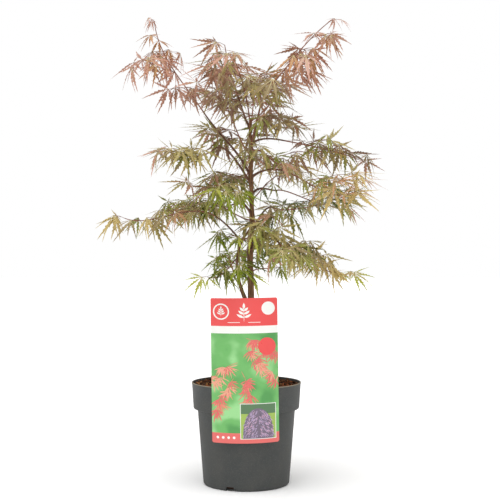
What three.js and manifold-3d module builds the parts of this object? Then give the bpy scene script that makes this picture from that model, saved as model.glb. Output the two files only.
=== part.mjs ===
// A young laceleaf Japanese maple in a round nursery pot, with a plain plant card hooked over the rim.
// Millimetres, +Z up, the front towards -Y. The origin is the centre of the pot's flat underside.
import * as THREE from "three";
import { mergeVertices } from "three/addons/utils/BufferGeometryUtils.js";
import Module from "manifold-3d";

const wasm = await Module();
wasm.setup();

// Driving dimensions

const CLEARANCE = 0.3; // air between two pieces that touch on the real plant

const POT = {
  height: 176.5,
  rimRadius: 95,
  collarFootRadius: 92.2,
  collarFoot: 131.5,
  shoulderRadius: 84.8,
  footRadius: 75.3,
  cornerRadius: 5,
  cornerSteps: 2,
  wall: 2.2,
  floor: 2.4,
  edge: 1.4,
  facets: 36,
  notches: 3,
  notchWidth: 20,
  notchHeight: 7,
  notchDepth: 14,
  firstNotchBearing: 249,
};

const SOIL = { top: 167.5, gap: 0.7 };

const CARD = {
  low: 85.2,
  high: 326,
  width: 111,
  corner: 3,
  thickness: 0.7,
  radius: POT.rimRadius + 0.45,
  lean: 0.8,
  centre: -2.4,
  tongueWidth: 26,
  tongueFoot: 170,
  tongueRadius: 91.4,
  facets: 64,
  cutterSpare: 5,
};

const TRUNK = {
  foot: SOIL.top + CLEARANCE,
  footRadius: 7.2,
  tipRadius: 1.8,
  taper: 0.85,
  flare: 4.2,
  flareHeight: 11,
  sides: 9,
  rings: 14,
  ringBunch: 1.4,
};

// The trunk's axis: where it stands at each knee, between which it eases from side to side.
const TRUNK_KNEES = [
  { height: TRUNK.foot, x: 8, y: 0 },
  { height: 322, x: 8, y: 0 },
  { height: 408, x: 6.3, y: -1 },
  { height: 450, x: 10, y: 1 },
  { height: 530, x: 8.2, y: 0 },
  { height: 636, x: 6.5, y: 1 },
];
const TRUNK_TIP = TRUNK_KNEES.at(-1).height;

// The second stem leaves the trunk low down, swings out to the left and comes back against it.
const SIDE_STEM = {
  height: 300,
  top: 444,
  bendShare: 0.62,
  swing: -50,
  forward: -7,
  thick: 3,
  thin: 1.7,
  sides: 6,
  rings: 7,
};

// One row for each bough: the height of its foot on the trunk, or on the side stem, the slope it
// leaves at, its bearing in plan (0 right, 90 back, 180 left, 270 front), how far out and up its tip
// lies, the slope it ends at, and its radius at the foot.
const BOUGHS = [
  { name: "upper_right", height: 586, leave: 65, bearing: 15, reach: 61, rise: 12, nod: -9, thick: 2 },
  {
    name: "middle_right", height: 531, leave: 44, bearing: 337, reach: 67, rise: 9, nod: -23,
    thick: 2.2,
  },
  {
    name: "lowest_right", height: 407, leave: 61, bearing: 12, reach: 45, rise: 22, nod: -32,
    thick: 2.2,
  },
  {
    name: "low_right_back", height: 437, leave: 44, bearing: 60, reach: 80, rise: 45, nod: -13,
    thick: 2,
  },
  { name: "top_right", height: 593, leave: 62, bearing: 348, reach: 33, rise: 93, nod: 49, thick: 2 },
  { name: "top_left", height: 617, leave: 60, bearing: 162, reach: 29, rise: 77, nod: 68, thick: 1.9 },
  {
    name: "upper_left", height: 530, leave: 70, bearing: 166, reach: 86, rise: 118, nod: 56,
    thick: 2.4,
  },
  {
    name: "middle_left", height: 521, leave: 54, bearing: 195, reach: 67, rise: 58, nod: -40,
    thick: 2.2,
  },
  {
    name: "far_left", on: "side_stem", height: 419, leave: 53, bearing: 182, reach: 45, rise: 45,
    nod: 32, thick: 1.8,
  },
  {
    name: "left_front", height: 464, leave: 64, bearing: 220, reach: 34, rise: 32, nod: 27,
    thick: 1.9,
  },
  {
    name: "front_right", height: 405, leave: 27, bearing: 302, reach: 94, rise: 10, nod: -39,
    thick: 2,
  },
  { name: "back_right", height: 499, leave: 48, bearing: 63, reach: 105, rise: 16, nod: 7, thick: 2.2 },
  {
    name: "back_left", height: 460, leave: 63, bearing: 115, reach: 100, rise: 25, nod: -13,
    thick: 2.2,
  },
  { name: "back", height: 553, leave: 66, bearing: 80, reach: 92, rise: 34, nod: 6, thick: 2 },
  {
    name: "front_left_low", on: "side_stem", height: 376, leave: 48, bearing: 265, reach: 57,
    rise: 10, nod: -12, thick: 1.5,
  },
  { name: "back_low", height: 397, leave: 44, bearing: 89, reach: 83, rise: 22, nod: -12, thick: 2 },
];
const BOUGH = { thin: 1.2, sides: 6, rings: 4 };

// One row for each mass of foliage, which is a spray of twigs on one stem. The stem goes on from the
// tip of the bough of the same name, or leaves the trunk or side stem at a height and slope. pairs is
// the number of leaf nodes on the stem, from the share called first of its length to its tip, twigs
// the number of side twigs, fan their length, droop how far the leaves hang, leaf their size, young
// the smaller size of those at the stem's tip, and seed where the spray's run of numbers starts.
const SPRAYS = [
  {
    name: "upper_right", bearing: 20, reach: 144, rise: -29, nod: -18, pairs: 5, first: 0.25,
    twigs: 2, fan: 35, droop: 19, seed: 451, tint: "maroon",
  },
  {
    name: "middle_right", bearing: 323, reach: 127, rise: -41, nod: 15, pairs: 5, first: 0.05,
    twigs: 2, fan: 95, droop: 15, seed: 168, tint: "amber",
  },
  {
    name: "lowest_right", bearing: 337, reach: 130, rise: -65, nod: 1, pairs: 6, first: 0.05,
    twigs: 3, fan: 35, droop: 33, seed: 739, tint: "amber",
  },
  {
    name: "low_right_back", bearing: 31, reach: 138, rise: 13, nod: 6, pairs: 4, first: 0.05,
    twigs: 2, fan: 69, droop: 11, seed: 868, tint: "olive",
  },
  {
    name: "top_right", bearing: 7, reach: 108, rise: 120, nod: 38, pairs: 2, first: 0.45,
    twigs: 4, fan: 42, droop: 34, young: 0.6, seed: 536, tint: "coral",
  },
  {
    name: "top_left", bearing: 186, reach: 17, rise: 70, nod: 80, pairs: 3, first: 0.05, twigs: 3,
    fan: 46, droop: 34, seed: 268, tint: "rust",
  },
  {
    name: "upper_left", bearing: 158, reach: 97, rise: 168, nod: 84, pairs: 4, first: 0.45,
    twigs: 3, fan: 85, droop: 34, young: 0.6, seed: 405, tint: "coral",
  },
  {
    name: "middle_left", bearing: 195, reach: 85, rise: -4, nod: 20, pairs: 5, first: 0.4,
    twigs: 1, fan: 58, droop: 10, seed: 710, tint: "rust",
  },
  {
    name: "far_left", bearing: 171, reach: 162, rise: -3, nod: 20, pairs: 6, first: 0.2, twigs: 1,
    fan: 44, droop: 34, seed: 413, tint: "amber",
  },
  {
    name: "left_front", bearing: 211, reach: 85, rise: 17, nod: -1, pairs: 3, first: 0.05,
    twigs: 1, fan: 37, droop: 18, seed: 478, tint: "olive",
  },
  {
    name: "front_right", bearing: 295, reach: 43, rise: -27, nod: 2, pairs: 2, first: 0.2,
    twigs: 2, fan: 40, droop: 31, seed: 412, tint: "green",
  },
  {
    name: "back_right", bearing: 37, reach: 148, rise: -26, nod: 6, pairs: 2, first: 0.55,
    twigs: 1, fan: 100, droop: 16, seed: 599, tint: "olive",
  },
  {
    name: "back_left", bearing: 143, reach: 130, rise: 10, nod: 20, pairs: 4, first: 0.2,
    twigs: 2, fan: 63, droop: 29, seed: 262, tint: "olive",
  },
  {
    name: "back", bearing: 61, reach: 126, rise: -21, nod: 18, pairs: 4, first: 0.65, twigs: 3,
    fan: 87, droop: 30, seed: 172, tint: "maroon",
  },
  {
    name: "front_left_low", bearing: 231, reach: 59, rise: -26, nod: 14, pairs: 5, first: 0.1,
    twigs: 1, fan: 36, droop: 34, leaf: 0.9, seed: 442, tint: "green",
  },
  {
    name: "back_low", bearing: 93, reach: 95, rise: -58, nod: -50, pairs: 3, first: 0.05,
    twigs: 2, fan: 74, droop: 34, seed: 31, tint: "green",
  },
  {
    name: "crown_front", height: 621, leave: 66, bearing: 260, reach: 150, rise: 92, nod: 19,
    pairs: 5, first: 0.3, twigs: 3, fan: 38, droop: 25, seed: 27, tint: "rust",
  },
  {
    name: "crown_back", height: 596, leave: 77, bearing: 80, reach: 125, rise: 138, nod: 11,
    pairs: 5, first: 0.45, twigs: 4, fan: 57, droop: 10, seed: 925, tint: "rust",
  },
  {
    name: "crown_left", height: 570, leave: 44, bearing: 197, reach: 88, rise: 116, nod: -19,
    pairs: 2, first: 0.75, twigs: 2, fan: 50, droop: 18, seed: 807, tint: "rust",
  },
  {
    name: "crown_right", height: 562, leave: 78, bearing: 63, reach: 76, rise: 108, nod: 33,
    pairs: 3, first: 0.05, twigs: 3, fan: 67, droop: 10, seed: 122, tint: "maroon",
  },
  {
    name: "crown_front_right", height: 586, leave: 57, bearing: 291, reach: 118, rise: 92,
    nod: -17, pairs: 5, first: 0.75, twigs: 2, fan: 35, droop: 23, seed: 676, tint: "maroon",
  },
  {
    name: "inner_right", height: 492, leave: 39, bearing: 33, reach: 54, rise: 45, nod: 24,
    pairs: 2, first: 0.55, twigs: 0, droop: 12, seed: 290, tint: "olive",
  },
  {
    name: "low_front", height: 400, leave: 36, bearing: 265, reach: 99, rise: 23, nod: -13,
    pairs: 2, first: 0.65, twigs: 1, fan: 57, droop: 31, leaf: 0.9, seed: 695, tint: "green",
  },
  {
    name: "low_right_front", height: 451, leave: 41, bearing: 296, reach: 72, rise: -17, nod: 22,
    pairs: 5, first: 0.3, twigs: 2, fan: 55, droop: 28, seed: 808, tint: "olive",
  },
  {
    name: "low_left", on: "side_stem", height: 342, leave: 32, bearing: 216, reach: 35, rise: 52,
    nod: -48, pairs: 1, first: 1, twigs: 0, droop: 34, leaf: 0.8, seed: 728, tint: "green",
  },
  {
    name: "base_right", height: 365, leave: 58, bearing: 11, reach: 38, rise: 9, nod: 8, pairs: 1,
    first: 1, twigs: 0, droop: 25, leaf: 0.7, seed: 174, tint: "green",
  },
  {
    name: "back_middle", height: 517, leave: 34, bearing: 103, reach: 173, rise: 25, nod: 10,
    pairs: 5, first: 0.65, twigs: 1, fan: 54, droop: 28, seed: 884, tint: "olive",
  },
  {
    name: "low_left_back", height: 457, leave: 7, bearing: 140, reach: 126, rise: 32, nod: -19,
    pairs: 3, first: 0.45, twigs: 1, fan: 56, droop: 27, seed: 384, tint: "olive",
  },
  {
    name: "front_middle_left", height: 495, leave: 28, bearing: 247, reach: 123, rise: 4, nod: 10,
    pairs: 4, first: 0.5, twigs: 1, fan: 65, droop: 34, seed: 171, tint: "maroon",
  },
  {
    name: "front_upper_right", height: 572, leave: 52, bearing: 306, reach: 92, rise: -23, nod: 5,
    pairs: 2, first: 0.6, twigs: 1, fan: 41, droop: 18, seed: 343, tint: "olive",
  },
].map((row) => ({ fan: 60, leaf: 1, young: 1, ...row }));

const SPRAY = {
  sides: 3,
  stemRings: 4,
  stemThick: 1.5,
  stemThin: 0.9,
  twigRings: 2,
  twigThick: 0.75,
  twigThin: 0.55,
  firstTwig: 0.12,
  lastTwig: 0.78,
  twigTurn: 50,
  twigTurnVary: 16,
  twigShorten: 0.4,
  twigLengthVary: 0.3,
  twigRise: 0,
  twigRiseVary: 0.25,
  twigLeave: 12,
  twigLeaveVary: 20,
  twigNod: -15,
  simplify: 0.04,
  gap: CLEARANCE * 0.8,
};

// How far apart the seeds of two neighbouring sprays, shoots and leaf nodes lie.
const SEED_STEPS = { twigs: 97, spray: 7919, shoot: 331, node: 17 };

const LEAF = {
  lobe: 50,
  hubThickness: 1.6,
  notchRadius: 0.24,
  notchSag: 0.6,
  backTurn: 150,
  backRadius: 1.1,
  bladeGap: 0.1,
  stalk: 17,
  stalkVary: 9,
  stalkThick: 0.5,
  stalkSlope: 12,
  stalkSlopeVary: 36,
  sideTurn: 66,
  endTurn: 34,
  turnVary: 24,
  droopVary: 26,
  tilt: 20,
  tiltVary: 60,
  rollVary: 90,
  sizeLeast: 0.86,
  sizeVary: 0.28,
};

// A leaf's lobes on one side, from the middle one round to the stalk: how far each is turned and its
// share of the middle lobe's length.
const LOBES = [
  { turn: 0, share: 1 },
  { turn: 33, share: 0.95 },
  { turn: 67, share: 0.78 },
  { turn: 103, share: 0.5 },
];

const FINISHES = {
  pot: { color: 0x4f5150, roughness: 0.55, metalness: 0 },
  soil: { color: 0x4a3326, roughness: 0.95, metalness: 0 },
  card: { color: 0x8fc27a, roughness: 0.35, metalness: 0 },
  bark: { color: 0x5a4030, roughness: 0.85, metalness: 0 },
  coral: { color: 0xb5533a, roughness: 0.6, metalness: 0 },
  rust: { color: 0x96482f, roughness: 0.6, metalness: 0 },
  maroon: { color: 0x6f4432, roughness: 0.6, metalness: 0 },
  olive: { color: 0x6b6a33, roughness: 0.6, metalness: 0 },
  green: { color: 0x647a2c, roughness: 0.6, metalness: 0 },
  amber: { color: 0xa8803a, roughness: 0.6, metalness: 0 },
};

// Helpers for solids

const UP = new THREE.Vector3(0, 0, 1);
const radians = THREE.MathUtils.degToRad;
const part = new THREE.Group();
const built = [];

function solidOf(geometry) {
  geometry.deleteAttribute("normal");
  geometry.deleteAttribute("uv");
  const merged = mergeVertices(geometry, 1e-4);
  return new wasm.Manifold(
    new wasm.Mesh({
      numProp: 3,
      vertProperties: merged.attributes.position.array,
      triVerts: new Uint32Array(merged.index.array),
    }),
  );
}

function geometryOf(solid) {
  const mesh = solid.getMesh();
  return new THREE.BufferGeometry()
    .setAttribute("position", new THREE.BufferAttribute(mesh.vertProperties, 3))
    .setIndex(new THREE.BufferAttribute(mesh.triVerts, 1));
}

// The largest of the bodies in a solid: loose scraps go, and a sealed hollow is filled.
function wholeBody(solid) {
  const bodies = solid.decompose();
  return bodies.reduce((best, body) => (body.volume() > best.volume() ? body : best));
}

function keepPiece(name, solid, finish) {
  const material = new THREE.MeshStandardMaterial(FINISHES[finish]);
  const mesh = new THREE.Mesh(geometryOf(solid), material);
  mesh.name = name;
  part.add(mesh);
  built.push(solid);
}

function isClear(solid, others, gap) {
  return others.every((other) => solid.minGap(other, gap * 2) > gap);
}

function latheSolid(profile, facets) {
  const points = profile.map(([radius, height]) => new THREE.Vector2(radius, height));
  return solidOf(new THREE.LatheGeometry(points, facets).rotateX(Math.PI / 2));
}

// Directions and growth curves

function direction(bearing, slope = 0) {
  const level = Math.cos(radians(slope));
  return new THREE.Vector3(
    Math.cos(radians(bearing)) * level,
    Math.sin(radians(bearing)) * level,
    Math.sin(radians(slope)),
  );
}

function bearingOf(vector) {
  return THREE.MathUtils.radToDeg(Math.atan2(vector.y, vector.x));
}

// A limb leaves its foot in one direction, and reaches its tip heading along its bearing at the slope
// of its nod.
function growthCurve(foot, leaving, { bearing, reach, rise, nod }) {
  const tip = foot.clone().addScaledVector(direction(bearing), reach).addScaledVector(UP, rise);
  const hold = foot.distanceTo(tip) / 3;
  return new THREE.CubicBezierCurve3(
    foot,
    foot.clone().addScaledVector(leaving, hold),
    tip.clone().addScaledVector(direction(bearing, nod), -hold),
    tip,
  );
}

// A closed tube along a curve, with its radius given by a function of the share of the way along.
function limbSolid(curve, bearing, radiusAt, sides, rings) {
  const across = direction(bearing + 90);
  const geometry = new THREE.CylinderGeometry(1, 1, 1, sides, rings);
  const points = geometry.attributes.position;
  for (let i = 0; i < points.count; i += 1) {
    const share = points.getY(i) + 0.5;
    const along = curve.getTangent(share);
    const first = across.clone().addScaledVector(along, -across.dot(along)).normalize();
    const second = first.clone().cross(along);
    const place = curve.getPoint(share);
    place.addScaledVector(first, points.getX(i) * radiusAt(share));
    place.addScaledVector(second, points.getZ(i) * radiusAt(share));
    points.setXYZ(i, place.x, place.y, place.z);
  }
  return solidOf(geometry);
}

function taperedSolid(curve, bearing, thick, thin, sides, rings) {
  return limbSolid(curve, bearing, (share) => THREE.MathUtils.lerp(thick, thin, share), sides, rings);
}

// The same seed always gives the same run of numbers from 0 to 1.
function draws(seed) {
  let state = seed >>> 0;
  return () => {
    state = (state + 0x6d2b79f5) >>> 0;
    let mix = Math.imul(state ^ (state >>> 15), state | 1);
    mix ^= mix + Math.imul(mix ^ (mix >>> 7), mix | 61);
    return ((mix ^ (mix >>> 14)) >>> 0) / 4294967296;
  };
}

// Pot and soil

function potOutside() {
  const centre = POT.footRadius - POT.cornerRadius;
  const outline = [[0, 0]];
  for (let step = 0; step <= POT.cornerSteps; step += 1) {
    const turn = (step / POT.cornerSteps) * (Math.PI / 2);
    const out = centre + POT.cornerRadius * Math.sin(turn);
    outline.push([out, POT.cornerRadius * (1 - Math.cos(turn))]);
  }
  return outline.concat([
    [POT.shoulderRadius, POT.collarFoot - POT.edge],
    [POT.collarFootRadius - POT.edge, POT.collarFoot],
    [POT.collarFootRadius, POT.collarFoot + POT.edge],
    [POT.rimRadius, POT.height - POT.edge / 2],
    [POT.rimRadius - POT.edge / 2, POT.height],
  ]);
}

function potInside() {
  return [
    [POT.rimRadius - POT.wall, POT.height],
    [POT.collarFootRadius - POT.wall, POT.collarFoot + POT.wall],
    [POT.shoulderRadius - POT.wall, POT.collarFoot],
    [POT.footRadius - POT.wall, POT.floor + POT.cornerRadius],
    [POT.footRadius - POT.cornerRadius, POT.floor],
    [0, POT.floor],
  ];
}

// The drain notches are cut through the pot's bottom corner.
function potSolid() {
  let pot = latheSolid(potOutside().concat(potInside()), POT.facets);
  for (let i = 0; i < POT.notches; i += 1) {
    const bearing = POT.firstNotchBearing + (i * 360) / POT.notches;
    const notch = new THREE.BoxGeometry(POT.notchDepth, POT.notchWidth, POT.notchHeight * 2)
      .translate(POT.footRadius, 0, 0)
      .rotateZ(radians(bearing));
    pot = pot.subtract(solidOf(notch));
  }
  return pot;
}

function soilSolid() {
  const gap = POT.wall + SOIL.gap;
  const foot = POT.floor + CLEARANCE;
  const outline = [
    [0, foot],
    [POT.footRadius - POT.cornerRadius - SOIL.gap, foot],
    [POT.footRadius - gap, foot + POT.cornerRadius],
    [POT.shoulderRadius - gap, POT.collarFoot],
    [POT.collarFootRadius - gap, POT.collarFoot + gap],
    [POT.rimRadius - gap - SOIL.gap, SOIL.top],
    [0, SOIL.top],
  ];
  return latheSolid(outline, POT.facets);
}

// The card is a sheet bent round the pot, with a tongue folded back over the rim.

function roundedRectangle(width, height, radius) {
  const x = width / 2 - radius;
  const y = height / 2 - radius;
  const shape = new THREE.Shape();
  shape.absarc(x, y, radius, 0, Math.PI / 2);
  shape.absarc(-x, y, radius, Math.PI / 2, Math.PI);
  shape.absarc(-x, -y, radius, Math.PI, Math.PI * 1.5);
  shape.absarc(x, -y, radius, Math.PI * 1.5, Math.PI * 2);
  return shape;
}

function cardSolid() {
  const outer = CARD.radius + CARD.thickness;
  const foot = CARD.low - CARD.cutterSpare;
  const top = CARD.high + CARD.cutterSpare;
  const sheet = [[CARD.radius, foot], [outer, foot], [outer, top], [CARD.radius, top], [CARD.radius, foot]];
  const outline = roundedRectangle(CARD.width, CARD.high - CARD.low, CARD.corner);
  const depth = outer + CARD.cutterSpare;
  const cutter = new THREE.ExtrudeGeometry(outline, { depth, bevelEnabled: false, curveSegments: 3 })
    .rotateX(Math.PI / 2)
    .rotateY(radians(-CARD.lean))
    .translate(CARD.centre, 0, (CARD.low + CARD.high) / 2);
  const tongue = tongueSolid(outer - CARD.thickness / 3);
  return latheSolid(sheet, CARD.facets).intersect(solidOf(cutter)).add(tongue);
}

function tongueSolid(outer) {
  const inner = CARD.tongueRadius - CARD.thickness;
  const foldLow = POT.height + CLEARANCE;
  const foldHigh = foldLow + CARD.thickness;
  const hook = [
    [inner, CARD.tongueFoot],
    [CARD.tongueRadius, CARD.tongueFoot],
    [CARD.tongueRadius, foldLow],
    [outer, foldLow],
    [outer, foldHigh],
    [inner, foldHigh],
    [inner, CARD.tongueFoot],
  ];
  const cutter = new THREE.BoxGeometry(CARD.tongueWidth, POT.rimRadius, POT.height);
  cutter.translate(CARD.centre, -POT.rimRadius, POT.height);
  return latheSolid(hook, CARD.facets).intersect(solidOf(cutter));
}

// Trunk, side stem and boughs

function trunkPoint(height) {
  const next = Math.max(1, TRUNK_KNEES.findIndex((knee) => knee.height >= height));
  const low = TRUNK_KNEES[next - 1];
  const high = TRUNK_KNEES[next];
  const ease = THREE.MathUtils.smoothstep(height, low.height, high.height);
  return new THREE.Vector3(
    THREE.MathUtils.lerp(low.x, high.x, ease),
    THREE.MathUtils.lerp(low.y, high.y, ease),
    height,
  );
}

function trunkRadius(height) {
  const left = (TRUNK_TIP - height) / (TRUNK_TIP - TRUNK.foot);
  const wood = TRUNK.tipRadius + (TRUNK.footRadius - TRUNK.tipRadius) * Math.max(0, left) ** TRUNK.taper;
  return wood + TRUNK.flare * Math.exp((TRUNK.foot - height) / TRUNK.flareHeight);
}

// The trunk's axis, along which its rings lie closer together at the flare.
class TrunkCurve extends THREE.Curve {
  getPoint(share) {
    const height = THREE.MathUtils.lerp(TRUNK.foot, TRUNK_TIP, share ** TRUNK.ringBunch);
    return trunkPoint(Math.min(height, TRUNK_TIP));
  }

  getTangent() {
    return UP.clone();
  }
}

function trunkSolid(extra) {
  const curve = new TrunkCurve();
  const radius = (share) => trunkRadius(curve.getPoint(share).z) + extra;
  return limbSolid(curve, 0, radius, TRUNK.sides, TRUNK.rings);
}

function sideStemCurve() {
  const foot = trunkPoint(SIDE_STEM.height);
  const top = trunkPoint(SIDE_STEM.top);
  const bend = foot.clone().lerp(top, SIDE_STEM.bendShare);
  bend.x += SIDE_STEM.swing;
  bend.y += SIDE_STEM.forward;
  top.x -= SIDE_STEM.thin;
  top.y += SIDE_STEM.forward;
  return new THREE.QuadraticBezierCurve3(foot, bend, top);
}

// Where the side stem passes a height, found by halving.
function sideStemPoint(height) {
  const curve = sideStemCurve();
  let low = 0;
  let high = 1;
  for (let step = 0; step < 30; step += 1) {
    const middle = (low + high) / 2;
    if (curve.getPoint(middle).z < height) low = middle;
    else high = middle;
  }
  return curve.getPoint(low);
}

function sideStemSolid(extra) {
  const { thick, thin, sides, rings } = SIDE_STEM;
  return taperedSolid(sideStemCurve(), 180, thick + extra, thin + extra, sides, rings);
}

function footPoint(row) {
  return row.on === "side_stem" ? sideStemPoint(row.height) : trunkPoint(row.height);
}

// A limb's foot is cut back so that it stands clear of what carries it.
const trunkRoom = trunkSolid(CLEARANCE);
const sideStemRoom = sideStemSolid(CLEARANCE);

function cutFoot(solid, row) {
  return wholeBody(solid.subtract(row.on === "side_stem" ? sideStemRoom : trunkRoom));
}

function boughCurve(row) {
  return growthCurve(footPoint(row), direction(row.bearing, row.leave), row);
}

function boughSolid(row) {
  const curve = boughCurve(row);
  return cutFoot(taperedSolid(curve, row.bearing, row.thick, BOUGH.thin, BOUGH.sides, BOUGH.rings), row);
}

// Foliage

// A spray's stem goes on from the tip of its bough, clear of it, or leaves the trunk or side stem.
function stemCurve(row) {
  const bough = BOUGHS.find((other) => other.name === row.name);
  if (!bough) return boughCurve(row);
  const carrier = boughCurve(bough);
  const heading = carrier.getTangent(1);
  const foot = carrier.getPoint(1).addScaledVector(heading, CLEARANCE);
  return growthCurve(foot, heading, row);
}

function stemShoot(row) {
  const { stemThick: thick, stemThin: thin, stemRings: rings } = SPRAY;
  const { bearing, first, pairs } = row;
  return { curve: stemCurve(row), bearing, thick, thin, rings, first, pairs, number: 0 };
}

// Side twigs leave the stem to the left and right in turn, shorter towards its tip.
function twigShoot(row, stem, index) {
  const draw = draws(row.seed * SEED_STEPS.twigs + index);
  const share = THREE.MathUtils.lerp(SPRAY.firstTwig, SPRAY.lastTwig, (index + 0.5) / row.twigs);
  const side = (index + row.seed) % 2 === 0 ? 1 : -1;
  const turn = SPRAY.twigTurn + SPRAY.twigTurnVary * (draw() - 0.5);
  const bearing = bearingOf(stem.curve.getTangent(share)) + side * turn;
  const length = 1 + SPRAY.twigLengthVary * (draw() - 0.5) - SPRAY.twigShorten * share;
  const reach = row.fan * length;
  const rise = reach * (SPRAY.twigRise + SPRAY.twigRiseVary * draw());
  const leaving = direction(bearing, SPRAY.twigLeave + SPRAY.twigLeaveVary * draw());
  const foot = stem.curve.getPoint(share);
  const curve = growthCurve(foot, leaving, { bearing, reach, rise, nod: SPRAY.twigNod });
  const { twigThick: thick, twigThin: thin, twigRings: rings } = SPRAY;
  return { curve, bearing, thick, thin, rings, first: 1, pairs: 1, number: index + 1 };
}

function shootSolid(shoot) {
  return taperedSolid(shoot.curve, shoot.bearing, shoot.thick, shoot.thin, SPRAY.sides, shoot.rings);
}

// One leaf of a pair: its stalk turns out to one side of the shoot, less so at the shoot's end.
function leafPlace(row, shoot, node, side) {
  const { spray: sprayStep, shoot: shootStep, node: nodeStep } = SEED_STEPS;
  const seed = row.seed * sprayStep + shoot.number * shootStep + node * nodeStep + (side + 1);
  const draw = draws(seed);
  const last = node === shoot.pairs - 1;
  const share = last ? 1 : THREE.MathUtils.lerp(shoot.first, 1, node / (shoot.pairs - 1));
  const turn = (last ? LEAF.endTurn : LEAF.sideTurn) + LEAF.turnVary * (draw() - 0.5);
  const bearing = bearingOf(shoot.curve.getTangent(share)) + side * turn;
  const slope = LEAF.stalkSlope + LEAF.stalkSlopeVary * (draw() - 0.5);
  const stalk = LEAF.stalk + LEAF.stalkVary * (draw() - 0.5);
  const foot = shoot.curve.getPoint(share);
  const hub = foot.clone().addScaledVector(direction(bearing, slope), stalk);
  const droop = row.droop + LEAF.droopVary * (draw() - 0.5);
  const tilt = LEAF.tilt + LEAF.tiltVary * (draw() - 0.5);
  const youth = last && shoot.number === 0 ? row.young : 1;
  const size = row.leaf * youth * (LEAF.sizeLeast + LEAF.sizeVary * draw());
  const roll = LEAF.rollVary * (draw() - 0.5);
  return { foot, hub, bearing, droop, tilt, roll, size };
}

// A point on a leaf, turned from its middle lobe, out from its hub and sagging by an angle.
function leafPoint(turn, out, sag) {
  const level = out * Math.cos(radians(sag));
  return [level * Math.cos(radians(turn)), level * Math.sin(radians(turn)), -out * Math.sin(radians(sag))];
}

// A leaf is a thin star round its hub, whose lobes droop from the hub like the ribs of an umbrella.
function leafRim({ droop, size }) {
  const length = LEAF.lobe * size;
  const far = LOBES.slice(1).reverse();
  const lobes = far.map((lobe) => ({ ...lobe, turn: -lobe.turn })).concat(LOBES);
  const rim = [leafPoint(-LEAF.backTurn, LEAF.backRadius, 0)];
  lobes.forEach(({ turn, share }, i) => {
    if (i > 0) {
      const between = (turn + lobes[i - 1].turn) / 2;
      rim.push(leafPoint(between, length * LEAF.notchRadius, droop * LEAF.notchSag));
    }
    rim.push(leafPoint(turn, length * share, droop));
  });
  rim.push(leafPoint(LEAF.backTurn, LEAF.backRadius, 0));
  return rim;
}

// The blade is a fan of faces above and below its rim. Where the leaf has its stalk, that runs from a
// small ring inside the shoot to the ring of four points at the blade's back.
function leafSolid(place, stalked) {
  const turned = new THREE.Matrix4()
    .makeTranslation(place.hub)
    .multiply(new THREE.Matrix4().makeRotationZ(radians(place.bearing)))
    .multiply(new THREE.Matrix4().makeRotationY(radians(place.tilt)))
    .multiply(new THREE.Matrix4().makeRotationX(radians(place.roll)));
  const half = LEAF.hubThickness / 2;
  const local = [[0, 0, half], [0, 0, -half], ...leafRim(place)];
  const points = local.map((point) => new THREE.Vector3(...point).applyMatrix4(turned));
  const last = points.length - 1;
  const faces = [];
  for (let here = 2; here < last; here += 1) faces.push(0, here, here + 1, 1, here + 1, here);
  const near = [2, 0, last, 1];
  if (stalked) {
    const lift = new THREE.Vector3(0, 0, 1).transformDirection(turned);
    const across = new THREE.Vector3(0, 1, 0).transformDirection(turned);
    for (const way of [across.clone().negate(), lift, across, lift.clone().negate()]) {
      points.push(place.foot.clone().addScaledVector(way, LEAF.stalkThick));
    }
    const far = [1, 2, 3, 4].map((step) => last + step);
    near.forEach((here, i) => {
      const next = (i + 1) % near.length;
      faces.push(here, near[next], far[next], here, far[next], far[i]);
    });
    faces.push(far[0], far[1], far[2], far[0], far[2], far[3]);
  } else {
    faces.push(0, last, 2, 1, 2, last);
  }
  const positions = new THREE.BufferAttribute(new Float32Array(points.length * 3), 3);
  points.forEach((point, i) => positions.setXYZ(i, point.x, point.y, point.z));
  return solidOf(new THREE.BufferGeometry().setAttribute("position", positions).setIndex(faces));
}

// Each pair of leaves is thinned to one leaf, to left and right in turn, except at the stem's tip.
function leavesOf(row, shoot) {
  const leaves = [];
  for (let node = 0; node < shoot.pairs; node += 1) {
    const side = (node + row.seed + shoot.number) % 2 === 0 ? 1 : -1;
    leaves.push(leafPlace(row, shoot, node, side));
    if (node === shoot.pairs - 1 && shoot.number === 0) leaves.push(leafPlace(row, shoot, node, -side));
  }
  return leaves;
}

// A twig or leaf that would touch a limb or another spray is left off, a twig with its leaves, and so
// is a leaf whose blade would touch another blade.
function spraySolid(row) {
  const stem = stemShoot(row);
  const grown = [cutFoot(shootSolid(stem), row)];
  const shoots = [stem];
  for (let index = 0; index < row.twigs; index += 1) {
    const twig = twigShoot(row, stem, index);
    const solid = shootSolid(twig);
    if (isClear(solid, built, SPRAY.gap)) {
      grown.push(solid);
      shoots.push(twig);
    }
  }
  const blades = [];
  for (const place of shoots.flatMap((shoot) => leavesOf(row, shoot))) {
    const blade = leafSolid(place, false);
    const leaf = leafSolid(place, true);
    if (isClear(blade, blades, LEAF.bladeGap) && isClear(leaf, built, SPRAY.gap)) {
      blades.push(blade);
      grown.push(leaf);
    }
  }
  return wholeBody(wasm.Manifold.union(grown)).simplify(SPRAY.simplify);
}

// The whole plant

keepPiece("pot", potSolid(), "pot");
keepPiece("soil", soilSolid(), "soil");
keepPiece("plant_card", cardSolid(), "card");
keepPiece("trunk", trunkSolid(0), "bark");
keepPiece("side_stem", wholeBody(sideStemSolid(0).subtract(trunkRoom)), "bark");
for (const row of BOUGHS) keepPiece(`bough_${row.name}`, boughSolid(row), "bark");
for (const row of SPRAYS) keepPiece(`foliage_${row.name}`, spraySolid(row), row.tint);

export default part;
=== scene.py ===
"""A young laceleaf maple in a round nursery pot: the looks of the plant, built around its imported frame.

Metres, +Z up, the front towards -Y. Bearings are degrees in plan (0 right, 90 back, 180 left, 270 front)
and slopes are degrees above level.
"""

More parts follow.
